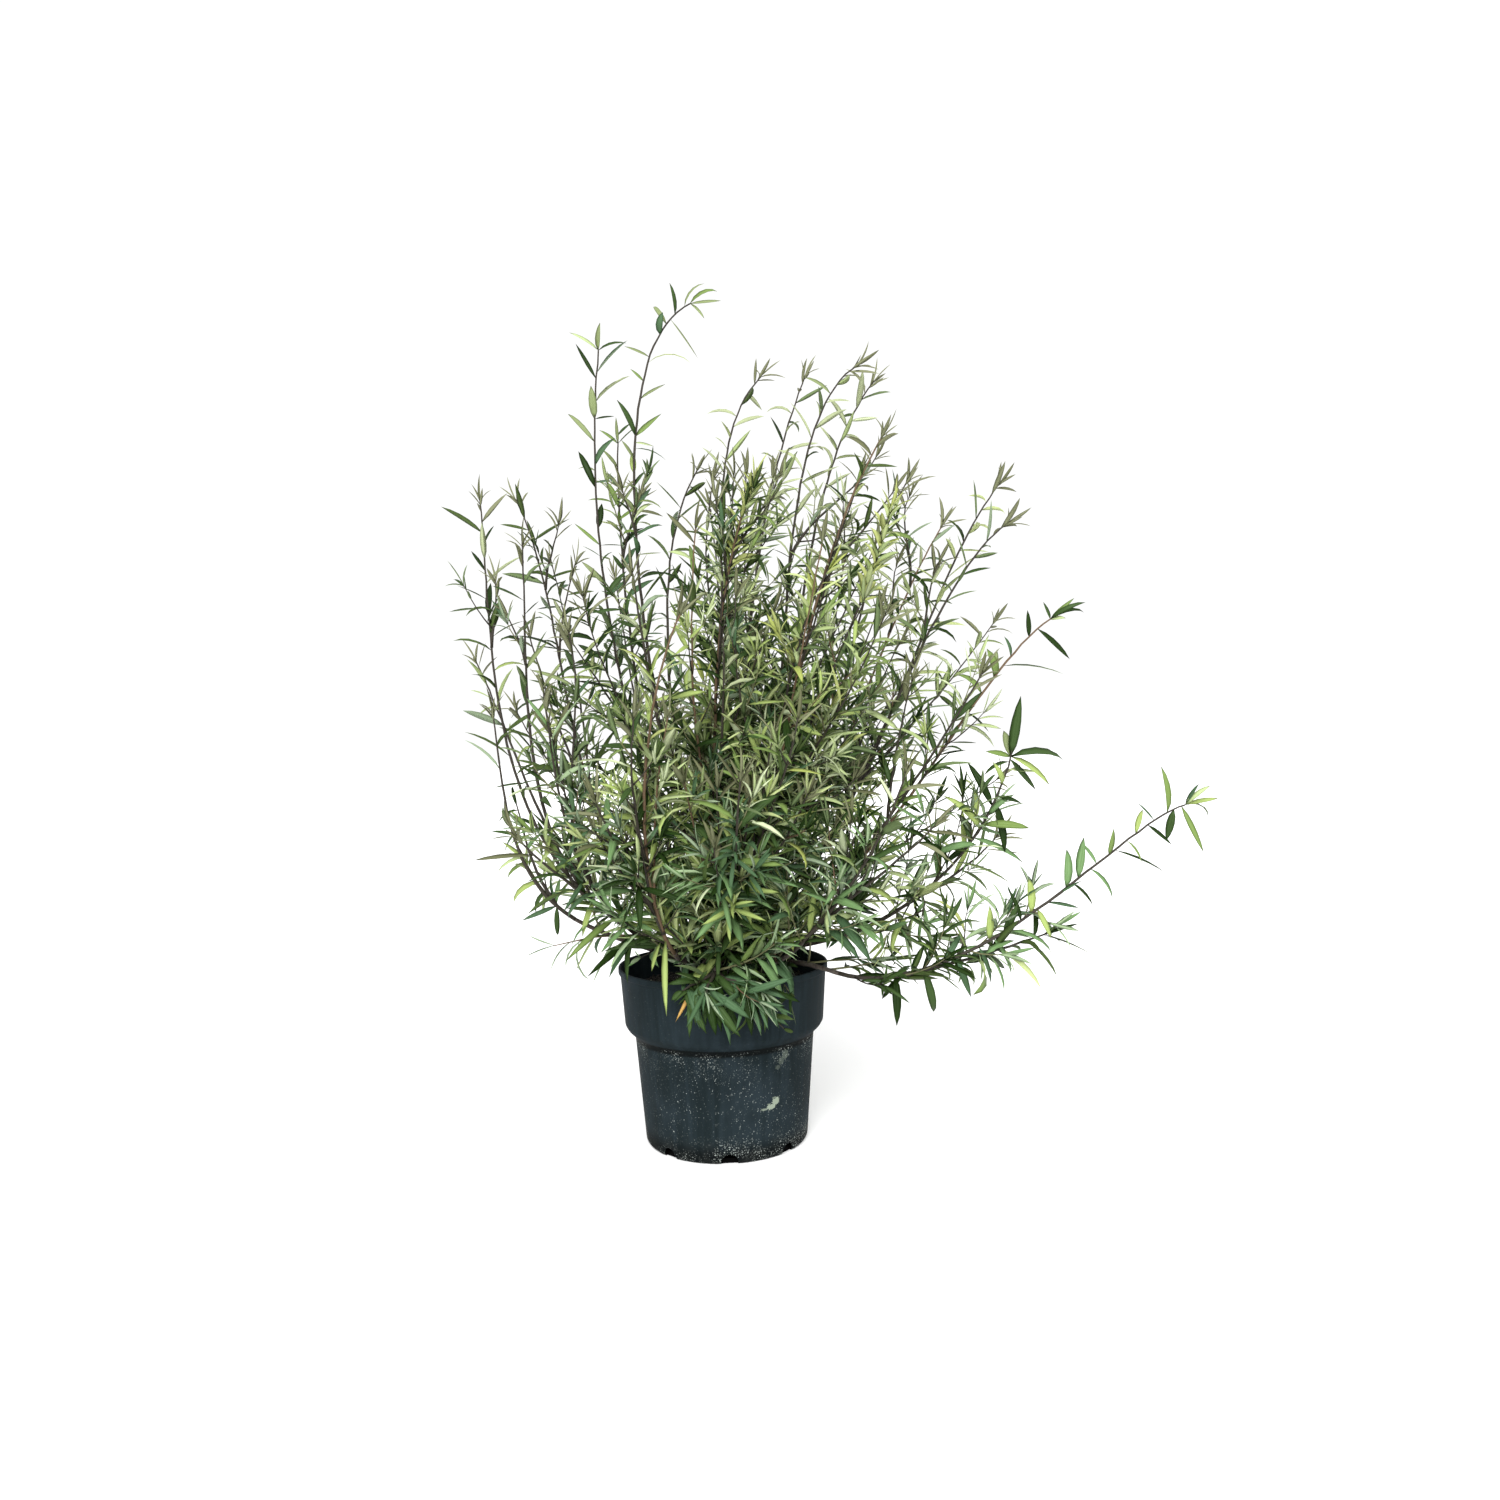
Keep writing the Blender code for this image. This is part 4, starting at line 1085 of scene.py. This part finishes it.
# Each tint above and beneath, and how common it is in the sprays of the front, the back, the
# sides and the top, of the foot of the crown, and of the tuft over the rim
TINTS = {
    "dark": ((0.013, 0.030, 0.005), (0.052, 0.082, 0.022), (16, 24, 26, 22, 14, 30)),
    "deep": ((0.035, 0.066, 0.018), (0.115, 0.162, 0.068), (15, 28, 28, 22, 15, 34)),
    "blue": ((0.054, 0.104, 0.048), (0.220, 0.285, 0.180), (6, 12, 10, 12, 12, 30)),
    "green": ((0.120, 0.208, 0.082), (0.260, 0.350, 0.195), (0, 0, 0, 0, 24, 0)),
    "mid": ((0.135, 0.200, 0.055), (0.280, 0.350, 0.150), (19, 20, 17, 13, 9, 6)),
    "dull": ((0.180, 0.222, 0.098), (0.340, 0.385, 0.220), (5, 8, 5, 19, 0, 0)),
    "olive": ((0.105, 0.112, 0.056), (0.170, 0.180, 0.100), (0, 0, 0, 0, 0, 0)),
    "fresh": ((0.265, 0.340, 0.105), (0.395, 0.460, 0.205), (18, 3, 7, 5, 13, 0)),
    "pale": ((0.350, 0.425, 0.200), (0.480, 0.545, 0.335), (18, 5, 7, 7, 11, 0)),
    "young": ((0.285, 0.328, 0.088), (0.340, 0.378, 0.135), (5, 0, 0, 0, 2, 0)),
    "gold": ((0.400, 0.240, 0.070), (0.380, 0.260, 0.110), (0, 0, 0, 0, 0, 0)),
}
FRONT, BACK, SIDE, TOP, LOW, TUFT = range(6)
LEAF_GLOSS = 0.09
CROWN_FRONT = -0.03
CROWN_MIDDLE = 0.01
CROWN_CORE = 0.12
CROWN_TOP = 0.55
CROWN_FOOT = 0.35
STRAY_LEAVES = 0.45
FRONT_GAIN = 0.10
FRONT_REACH = 0.14
Leaf = namedtuple("Leaf", "root heading upper length width bend twist fold tint")
# Leaves that stand out in the photo, by shoot: where on its length all that follow are listed,
# and for each leaf its place on it (hundredths), its tip and its width (millimetres) and, for
# some, its tint
SEEN_LEAVES = {
    ("right_long", 0): (12, ((15, 172, -110, 141, 9), (17, 160, -90, 163, 7.5),
        (19, 202, -105, 220, 7), (22, 212, -89, 149, 8.5), (25, 191, -115, 225, 7),
        (27, 241, -93, 228, 6.5), (30, 246, -108, 167, 7.5), (30, 272, -90, 184, 7),
        (33, 230, -115, 242, 7), (36, 269, -93, 177, 6), (39, 267, -106, 257, 8),
        (40, 291, -88, 184, 7.5), (43, 294, -112, 260, 8), (44, 332, -89, 202, 6),
        (48, 286, -100, 273, 4.5), (51, 312, -81, 280, 8.5), (53, 327, -105, 222, 6),
        (56, 363, -80, 248, 6.5), (60, 363, -92, 277, 4), (62, 354, -72, 307, 9),
        (64, 372, -96, 252, 4), (66, 372, -72, 319, 9), (70, 396, -83, 256, 6.5),
        (72, 372, -62, 312, 4), (76, 398, -85, 328, 7), (78, 459, -61, 278, 3.6),
        (82, 430, -72, 290, 3.2), (85, 440, -51, 344, 6), (89, 461, -73, 308, 6),
        (91, 435, -50, 351, 3.6), (95, 456, -61, 389, 6.5), (97, 467, -42, 310, 8.5),
        (99, 495, -68, 299, 6.5), (100, 521, -46, 353, 5.5), (100, 507, -60, 367, 5.5),
        (100, 511, -42, 334, 4.5), (100, 492, -68, 370, 4.5))),
    ("right_low", 0): (54, ((57, 249, -52, 338, 7), (59, 315, -53, 291, 8), (63, 228, -81, 365, 9),
        (65, 317, -74, 329, 8.5), (69, 302, -75, 364, 6), (73, 257, -63, 398, 8),
        (75, 293, -64, 303, 9), (77, 306, -87, 355, 5), (82, 277, -89, 398, 6),
        (88, 331, -66, 385, 6.5), (91, 269, -85, 384, 6), (92, 326, -67, 367, 7),
        (93, 306, -94, 463, 10.5), (93, 354, -72, 396, 10), (93, 335, -86, 372, 9),
        (93, 269, -94, 408, 7), (93, 293, -72, 429, 9))),
    ("right_arch", 0): (63, ((66, 290, -20, 428, 5), (68, 245, -42, 439, 6), (72, 257, -17, 490, 7),
        (77, 300, -22, 516, 6), (78, 284, -45, 515, 10), (81, 371, -19, 488, 6),
        (84, 304, -38, 528, 4.5), (91, 329, -39, 555, 5.5), (94, 376, -26, 503, 6.5),
        (98, 366, -49, 544, 6), (100, 387, -49, 560, 5.5), (100, 392, -27, 552, 4.5),
        (100, 378, -41, 566, 5), (100, 350, -23, 565, 4.5))),
    ("mid_tall", 0): (50, ((53, -50, -38, 602, 9.5), (53, -104, -20, 580, 6),
        (57, -53, -24, 627, 4), (57, -81, -45, 642, 7), (60, -52, -19, 657, 3.5),
        (61, -65, -37, 665, 9), (63, -61, -23, 679, 6), (64, -63, -18, 698, 10),
        (64, -91, -44, 683, 6.5), (68, -67, -36, 711, 8.5), (70, -82, -21, 735, 7),
        (72, -91, -43, 742, 5.5), (74, -46, -17, 726, 3.5), (75, -58, -35, 737, 5.5),
        (76, -50, -20, 776, 9), (76, -95, -42, 785, 6.5), (82, -45, -15, 809, 6),
        (85, -81, -32, 820, 3.5), (88, -17, -18, 829, 3.2), (89, -86, -40, 841, 4.5),
        (93, -45, -32, 879, 8.5), (95, -56, -17, 891, 5), (96, -10, -13, 836, 4),
        (97, -37, -39, 907, 4.5), (99, 0, -32, 908, 4), (100, -2, -14, 878, 4.5),
        (100, 17, -40, 886, 5), (100, 13, -18, 905, 5))),
    ("left_tall", 1): (56, ((59, -69, 68, 614, 8.5), (63, -124, 56, 594, 7),
        (66, -90, 76, 653, 7.5), (66, -116, 59, 642, 5), (71, -80, 76, 675, 7.5),
        (75, -122, 57, 681, 5.5), (77, -108, 59, 692, 5), (81, -123, 85, 731, 6.5),
        (81, -85, 71, 728, 8.5), (86, -124, 92, 744, 5.5), (91, -126, 70, 765, 5),
        (99, -96, 103, 804, 4), (100, -110, 77, 804, 4), (100, -133, 99, 796, 4.5),
        (100, -84, 85, 797, 3.5))),
    ("left_tall", 0): (54, ((57, -96, 24, 617, 7), (59, -144, 9, 626, 6), (60, -142, 27, 609, 7),
        (62, -108, 0, 634, 5), (64, -141, -1, 641, 3.2), (64, -113, 20, 629, 5),
        (66, -153, 24, 671, 4), (66, -94, 6, 641, 3.2), (69, -121, 18, 691, 8),
        (77, -107, -7, 709, 5), (76, -145, 15, 748, 7.5), (79, -147, 18, 729, 4),
        (80, -101, -8, 755, 10), (84, -156, 17, 790, 5.5), (88, -102, -2, 780, 4),
        (88, -127, -2, 814, 9), (91, -85, 11, 828, 8.5), (95, -145, 14, 866, 4.5),
        (96, -85, -12, 858, 9), (100, -114, -12, 878, 8.5), (100, -88, 10, 863, 4.5),
        (100, -149, -4, 871, 4.5))),
    ("left_low", 1): (0, ((0, -210, -33, 242, 6), (0, -176, -11, 222, 6), (1, -172, -11, 284, 6),
        (10, -154, -4, 266, 6.5), (15, -197, -20, 247, 7), (25, -226, 4, 253, 9),
        (26, -175, -13, 305, 6), (46, -234, 14, 281, 5), (50, -241, -5, 290, 5.5),
        (57, -191, 0, 332, 5), (70, -256, 34, 332, 4), (80, -239, 23, 308, 6),
        (95, -244, 20, 343, 4.5), (99, -233, 43, 382, 4))),
    ("left_front", 0): (100, ((0, -108, -120, 197, 8), (0, -129, -122, 199, 7.5),
        (1, -90, -118, 191, 7.5))),
    ("left_front", 1): (100, ((2, -144, -120, 229, 7), (2, -149, -122, 215, 7.5))),
    ("front_left", 0): (100, ((8, -50, -150, 166, 6.5, "fresh"),)),
    ("front_low", 0): (100, ((5, -18, -148, 183, 8), (10, 3, -150, 181, 8.5),
        (20, 15, -150, 186, 8), (35, -18, -150, 170, 8), (50, -6, -160, 163, 9),
        (60, -30, -150, 176, 8), (70, 2, -165, 154, 9), (85, 10, -168, 141, 7.5),
        (90, 30, -165, 165, 8), (100, 20, -171, 150, 9.5), (100, -3, -170, 152, 9))),
    ("front_low", 1): (100, ((40, -52, -130, 192, 7), (55, -37, -140, 175, 8),
        (75, -28, -148, 165, 8), (85, -19, -155, 155, 9), (95, -12, -160, 151, 8.5),
        (100, -46, -140, 179, 7), (60, -42, -147, 160, 4, "gold"))),
    ("front_low", 2): (100, ((10, 24, -150, 173, 8), (15, 46, -150, 190, 8), (20, 43, -152, 180, 9),
        (35, 59, -152, 187, 8), (45, 66, -150, 179, 8), (40, 20, -140, 166, 8),
        (55, 30, -150, 145, 9), (70, 36, -152, 156, 8.5), (80, 42, -155, 149, 8),
        (85, 47, -155, 164, 7), (90, 56, -155, 153, 7), (95, 52, -150, 176, 8),
        (100, 67, -150, 159, 7), (100, 63, -150, 168, 7), (100, 77, -140, 174, 6.5))),
}


def leaf_outline(share):
    """The width of the blade along its length: a narrow stalk, then a lance with a fine tip."""
    return max(0.10 * (1.0 - share), math.sin(math.pi * share ** 0.82) ** 0.75)


def leaf_shape():
    """A leaf of unit length and width, with its upper sheet (0) and its lower sheet (1)."""
    bm = bmesh.new()
    bmesh.ops.create_grid(bm, x_segments=2, y_segments=LEAF_SEGMENTS, size=0.5)
    under = bmesh.ops.duplicate(bm, geom=bm.verts[:] + bm.edges[:] + bm.faces[:])["geom"]
    lower = [item for item in under if isinstance(item, bmesh.types.BMFace)]
    bmesh.ops.reverse_faces(bm, faces=lower)
    for face in lower:
        face.material_index = 1
    for vert in {vert for face in lower for vert in face.verts}:
        if abs(vert.co.x) < 0.01 and abs(vert.co.y) < 0.49:
            vert.co.z = -math.sin(math.pi * (vert.co.y + 0.5)) ** 0.5
    for vert in bm.verts:
        vert.co.y += 0.5
        vert.co.x *= leaf_outline(min(max(vert.co.y, 0.0), 1.0))
    bmesh.ops.remove_doubles(bm, verts=bm.verts, dist=0.0001)
    return template(bm)


def dealt(spot, chance):
    """A tint for a place in the crown."""
    part = FRONT if spot.y < CROWN_FRONT else BACK
    if abs(spot.x - CROWN_MIDDLE) > CROWN_CORE:
        part = SIDE
    if spot.z > CROWN_TOP:
        part = TOP
    elif spot.z < OPEN_PEAT:
        part = TUFT
    elif spot.z < CROWN_FOOT:
        part = LOW
    return chance.choices(list(TINTS), [shares[part] for _, _, shares in TINTS.values()])[0]


def square_to(heading, direction):
    """The part of a direction that is square to a heading."""
    return (direction - heading * direction.dot(heading)).normalized()


def rolled(heading, upper, most, chance):
    """An upper side that is turned round the heading by a random angle."""
    return Matrix.Rotation(math.radians(chance.uniform(-most, most)), 3, heading) @ upper


def leaves_on(shoot, yellow, gap, foot_gap, top, chance):
    """The leaves of a shoot, in a spiral up to a share of its length, and the fan at its tip."""
    whole = path_length(shoot.path)
    place_at = BARE_FOOT[shoot.rank]
    turn = chance.uniform(0.0, 360.0)
    spray = dealt(shoot.path[len(shoot.path) // 2], chance)
    leaves = []
    while place_at < whole * min(top, LAST_LEAF):
        root, ahead = along(shoot.path, place_at / whole)
        to_tip = whole - place_at
        fan = max(0.0, 1.0 - to_tip / TIP_FAN)
        crowded = yellow and to_tip < YELLOW_REACH
        spread = chance.uniform(*LEAF_SPREAD) * (1.0 - LESS_SPREAD * fan)
        spread *= YELLOW_SPREAD if crowded else 1.0
        heading = fork(ahead, turn, spread)
        level = 1.0 - abs(ahead.z)
        heading.z -= level * chance.uniform(*LEAF_DROOP)
        heading.normalize()
        upper = square_to(heading, ahead + Vector((0, 0, SKYWARD)) * level)
        upper = rolled(heading, upper, LEAF_ROLL, chance)
        full = float(np.interp(root.z, LEAF_HEIGHTS, LEAF_LENGTH))
        full *= float(np.interp(root.z, LEAF_HEIGHTS, LEAF_RANK[shoot.rank]))
        full *= 1.0 + FRONT_GAIN * min(max(-root.y / FRONT_REACH, 0.0), 1.0)
        length = full * chance.uniform(*LEAF_LENGTHS) * (1.0 - LESS_LENGTH * fan)
        share = float(np.interp(root.z, LEAF_HEIGHTS, LEAF_WIDTH_SHARE))
        width = length * share * chance.uniform(*LEAF_WIDTHS) * (1.0 - LESS_WIDTH * fan)
        bend = chance.choice(LEAF_BENDS) * chance.uniform(*LEAF_BEND_SPAN)
        bend *= 1.0 - LESS_BEND * fan
        shade = dealt(root, chance) if chance.random() < STRAY_LEAVES else spray
        if fan:
            shade = "olive" if shoot.rank < 2 and root.z > LOW_HEIGHTS[1] else spray
        if crowded:
            shade = chance.choice(YELLOW_TINTS)
            length *= YELLOW_LENGTH
        twist = chance.uniform(-LEAF_TWIST, LEAF_TWIST)
        fold = chance.uniform(*LEAF_FOLD)
        leaves.append(Leaf(root, heading, upper, length, width, bend, twist, fold, shade))
        turn += GOLDEN_ANGLE
        low = float(np.interp(root.z, LOW_HEIGHTS, (LOW_GAP, 1.0)))
        step = LEAF_GAP[shoot.rank] * gap * low * (1.0 - LESS_GAP * fan)
        step *= chance.uniform(*LEAF_GAPS)
        step *= foot_gap + (1.0 - foot_gap) * place_at / whole
        place_at += step * (YELLOW_GAP if crowded else 1.0)
    if top < 1.0:
        return leaves
    tip = shoot.path[-1]
    shade = "olive" if shoot.rank < 2 and tip.z > LOW_HEIGHTS[1] else spray
    if yellow:
        shade = "young"
    for index in range(TIP_LEAVES[shoot.rank]):
        root = tip - shoot.arrive * TIP_STEP * (index + 1)
        heading = fork(shoot.arrive, turn + index * GOLDEN_ANGLE, chance.uniform(*TIP_SPREAD))
        upper = square_to(heading, shoot.arrive)
        length = chance.uniform(*TIP_LENGTH)
        width = length * TIP_WIDTH_SHARE
        bend = chance.choice(LEAF_BENDS[:4])
        twist = chance.uniform(-TIP_TWIST, TIP_TWIST)
        leaves.append(Leaf(root, heading, upper, length, width, bend, twist, TIP_FOLD, shade))
    upper = outward(shoot.arrive, chance.uniform(0.0, 360.0))
    root = tip - shoot.arrive * 0.003
    return leaves + [Leaf(root, shoot.arrive, upper, *LAST_BLADE, shade)]


def seen_leaves(shoot, listed, chance):
    """The listed leaves of a wand, each bent so that its tip is still in its place."""
    leaves = []
    for share, x, y, z, width, *own in listed:
        root, _ = along(shoot.path, share / 100)
        chord = Vector((x / 1000, y / 1000, z / 1000)) - root
        straight = chord.normalized()
        upper = square_to(straight, Vector((0.0, -0.7, 0.7)))
        upper = rolled(straight, upper, SEEN_ROLL, chance)
        bend = chance.choice(LEAF_BENDS)
        half = bend / 2
        heading = straight * math.cos(half) + upper * math.sin(half)
        upper = upper * math.cos(half) - straight * math.sin(half)
        length = chord.length * half / math.sin(half)
        twist = chance.uniform(-SEEN_TWIST, SEEN_TWIST)
        fold = chance.uniform(*SEEN_FOLD)
        tint = own[0] if own else dealt(root, chance)
        leaves.append(Leaf(root, heading, upper, length, width / 1000, bend, twist, fold, tint))
    return leaves


def hides_stem(points):
    """True for each point that stands before a stem that shows in the photo."""
    camera_place = np.array(CAMERA_PLACE)
    x, away, z = np.moveaxis(points - camera_place, -1, 0)
    hidden = np.zeros(x.shape, bool)
    for (name, index), (first, last) in SHOWN_STEMS.items():
        path = np.array(shoots[name][index].path) - camera_place
        path = path[round(first * len(path)):round(last * len(path))]
        climb = path[:, 2] / path[:, 1]
        order = climb.argsort()
        stem_x = np.interp(z / away, climb[order], (path[:, 0] / path[:, 1])[order])
        stem_away = np.interp(z / away, climb[order], path[order, 1])
        level = (z / away > climb.min()) & (z / away < climb.max())
        before = away < stem_away - STEM_CLEARANCE
        hidden |= level & before & (np.abs(x / away - stem_x) * away < STEM_VIEW)
    return hidden


def blades(leaves, shape):
    """The corners of every leaf: the shape bent along an arc, twisted and folded."""
    columns = [np.array(column)[:, None] for column in list(zip(*leaves))[:8]]
    root, heading, upper, length, width, bend, twist, fold = columns
    side = np.cross(heading, upper)
    across, share, thick = shape[:, 0], shape[:, 1], shape[:, 2]
    across = across[None, :] * width
    rise = fold * np.abs(across) + thick[None, :] * LEAF_THICKNESS
    arc = bend * share[None, :]
    forth = length * np.sin(arc) / bend
    drop = length * (1.0 - np.cos(arc)) / bend
    turn = twist * share[None, :]
    parts = (forth, drop, across, rise, arc, turn)
    forth, drop, across, rise, arc, turn = (part[:, :, None] for part in parts)
    up_here = heading * np.sin(arc) + upper * np.cos(arc)
    side_here = side * np.cos(turn) + up_here * np.sin(turn)
    up_here = up_here * np.cos(turn) - side * np.sin(turn)
    return root + heading * forth - upper * drop + side_here * across + up_here * rise


leaf_corners, leaf_faces, leaf_sheets = leaf_shape()
midrib = np.abs(leaf_corners[:, 0]) < 0.001
greens = []
for tint, (above, beneath, _) in TINTS.items():
    greens.append(finish(tint + "_upper", above, 0.42, LEAF_GLOSS)[0])
    greens.append(finish(tint + "_lower", beneath, 0.65, LEAF_GLOSS)[0])
tint_order = list(TINTS)
for name in shoots:
    chance = random.Random("leaves " + name)
    *_, gap, foot_gap = HABITS[name]
    leaves = []
    seen = []
    for index, shoot in enumerate(shoots[name]):
        key = (name, index)
        top, listed = SEEN_LEAVES.get(key, (100, ()))
        leaves += leaves_on(shoot, key in YELLOW_WANDS, gap, foot_gap, top / 100, chance)
        seen += seen_leaves(shoot, listed, chance)
    outer = blades(leaves, leaf_corners)[:, leaf_corners[:, 1] > LEAF_STALK]
    kept = clear(outer).all(axis=1) & ~hides_stem(outer).any(axis=1)
    leaves = [leaf for leaf, keep in zip(leaves, kept) if keep] + seen
    greens_from = np.array([2 * tint_order.index(leaf.tint) for leaf in leaves])
    kinds = greens_from[:, None] + leaf_sheets[None, :]
    foliage = joined("leaves_" + name, blades(leaves, leaf_corners), leaf_faces, kinds, greens,
                     ridge=midrib)
    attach(foliage, "root")
    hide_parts("foliage_" + name)

# Stage: a plain pale floor and soft studio light from above and in front, with a level camera
# at the photographer's place, rolled a little as the photo is.
CAMERA_LENS = 25.82
CAMERA_ROLL = -1.45
FLOOR_COLOUR = (0.94, 0.94, 0.94)
FLOOR_SIZE = 60.0
WORLD_STRENGTH = 1.05
KEY_STRENGTH = 4.4
KEY_ANGLE = 42.0
KEY_AIM = (0.08, 1.00, -0.70)

floor_shape = bmesh.new()
bmesh.ops.create_grid(floor_shape, x_segments=1, y_segments=1, size=FLOOR_SIZE)
floor_finish, _, _ = finish("floor_paint", FLOOR_COLOUR, 0.9)
floor = piece("floor", floor_shape, floor_finish, smooth=False)

world = bpy.data.worlds.new("white_studio")
world.use_nodes = True
backdrop = world.node_tree.nodes["Background"]
backdrop.inputs["Color"].default_value = (1.0, 1.0, 1.0, 1.0)
backdrop.inputs["Strength"].default_value = WORLD_STRENGTH
bpy.context.scene.world = world

key = bpy.data.lights.new("key", "SUN")
key.energy = KEY_STRENGTH
key.angle = math.radians(KEY_ANGLE)
key_lamp = bpy.data.objects.new("key", key)
key_lamp.rotation_euler = Vector(KEY_AIM).to_track_quat("-Z", "Y").to_euler()
bpy.context.scene.collection.objects.link(key_lamp)

camera_data = bpy.data.cameras.new("camera")
camera_data.sensor_width = 36.0
camera_data.lens = CAMERA_LENS
camera = bpy.data.objects.new("camera", camera_data)
camera.matrix_world = (Matrix.Translation(CAMERA_PLACE)
                       @ Matrix.Rotation(math.radians(90.0), 4, "X")
                       @ Matrix.Rotation(math.radians(CAMERA_ROLL), 4, "Z"))
bpy.context.scene.collection.objects.link(camera)
bpy.context.scene.camera = camera
bpy.context.scene.view_settings.view_transform = "Standard"
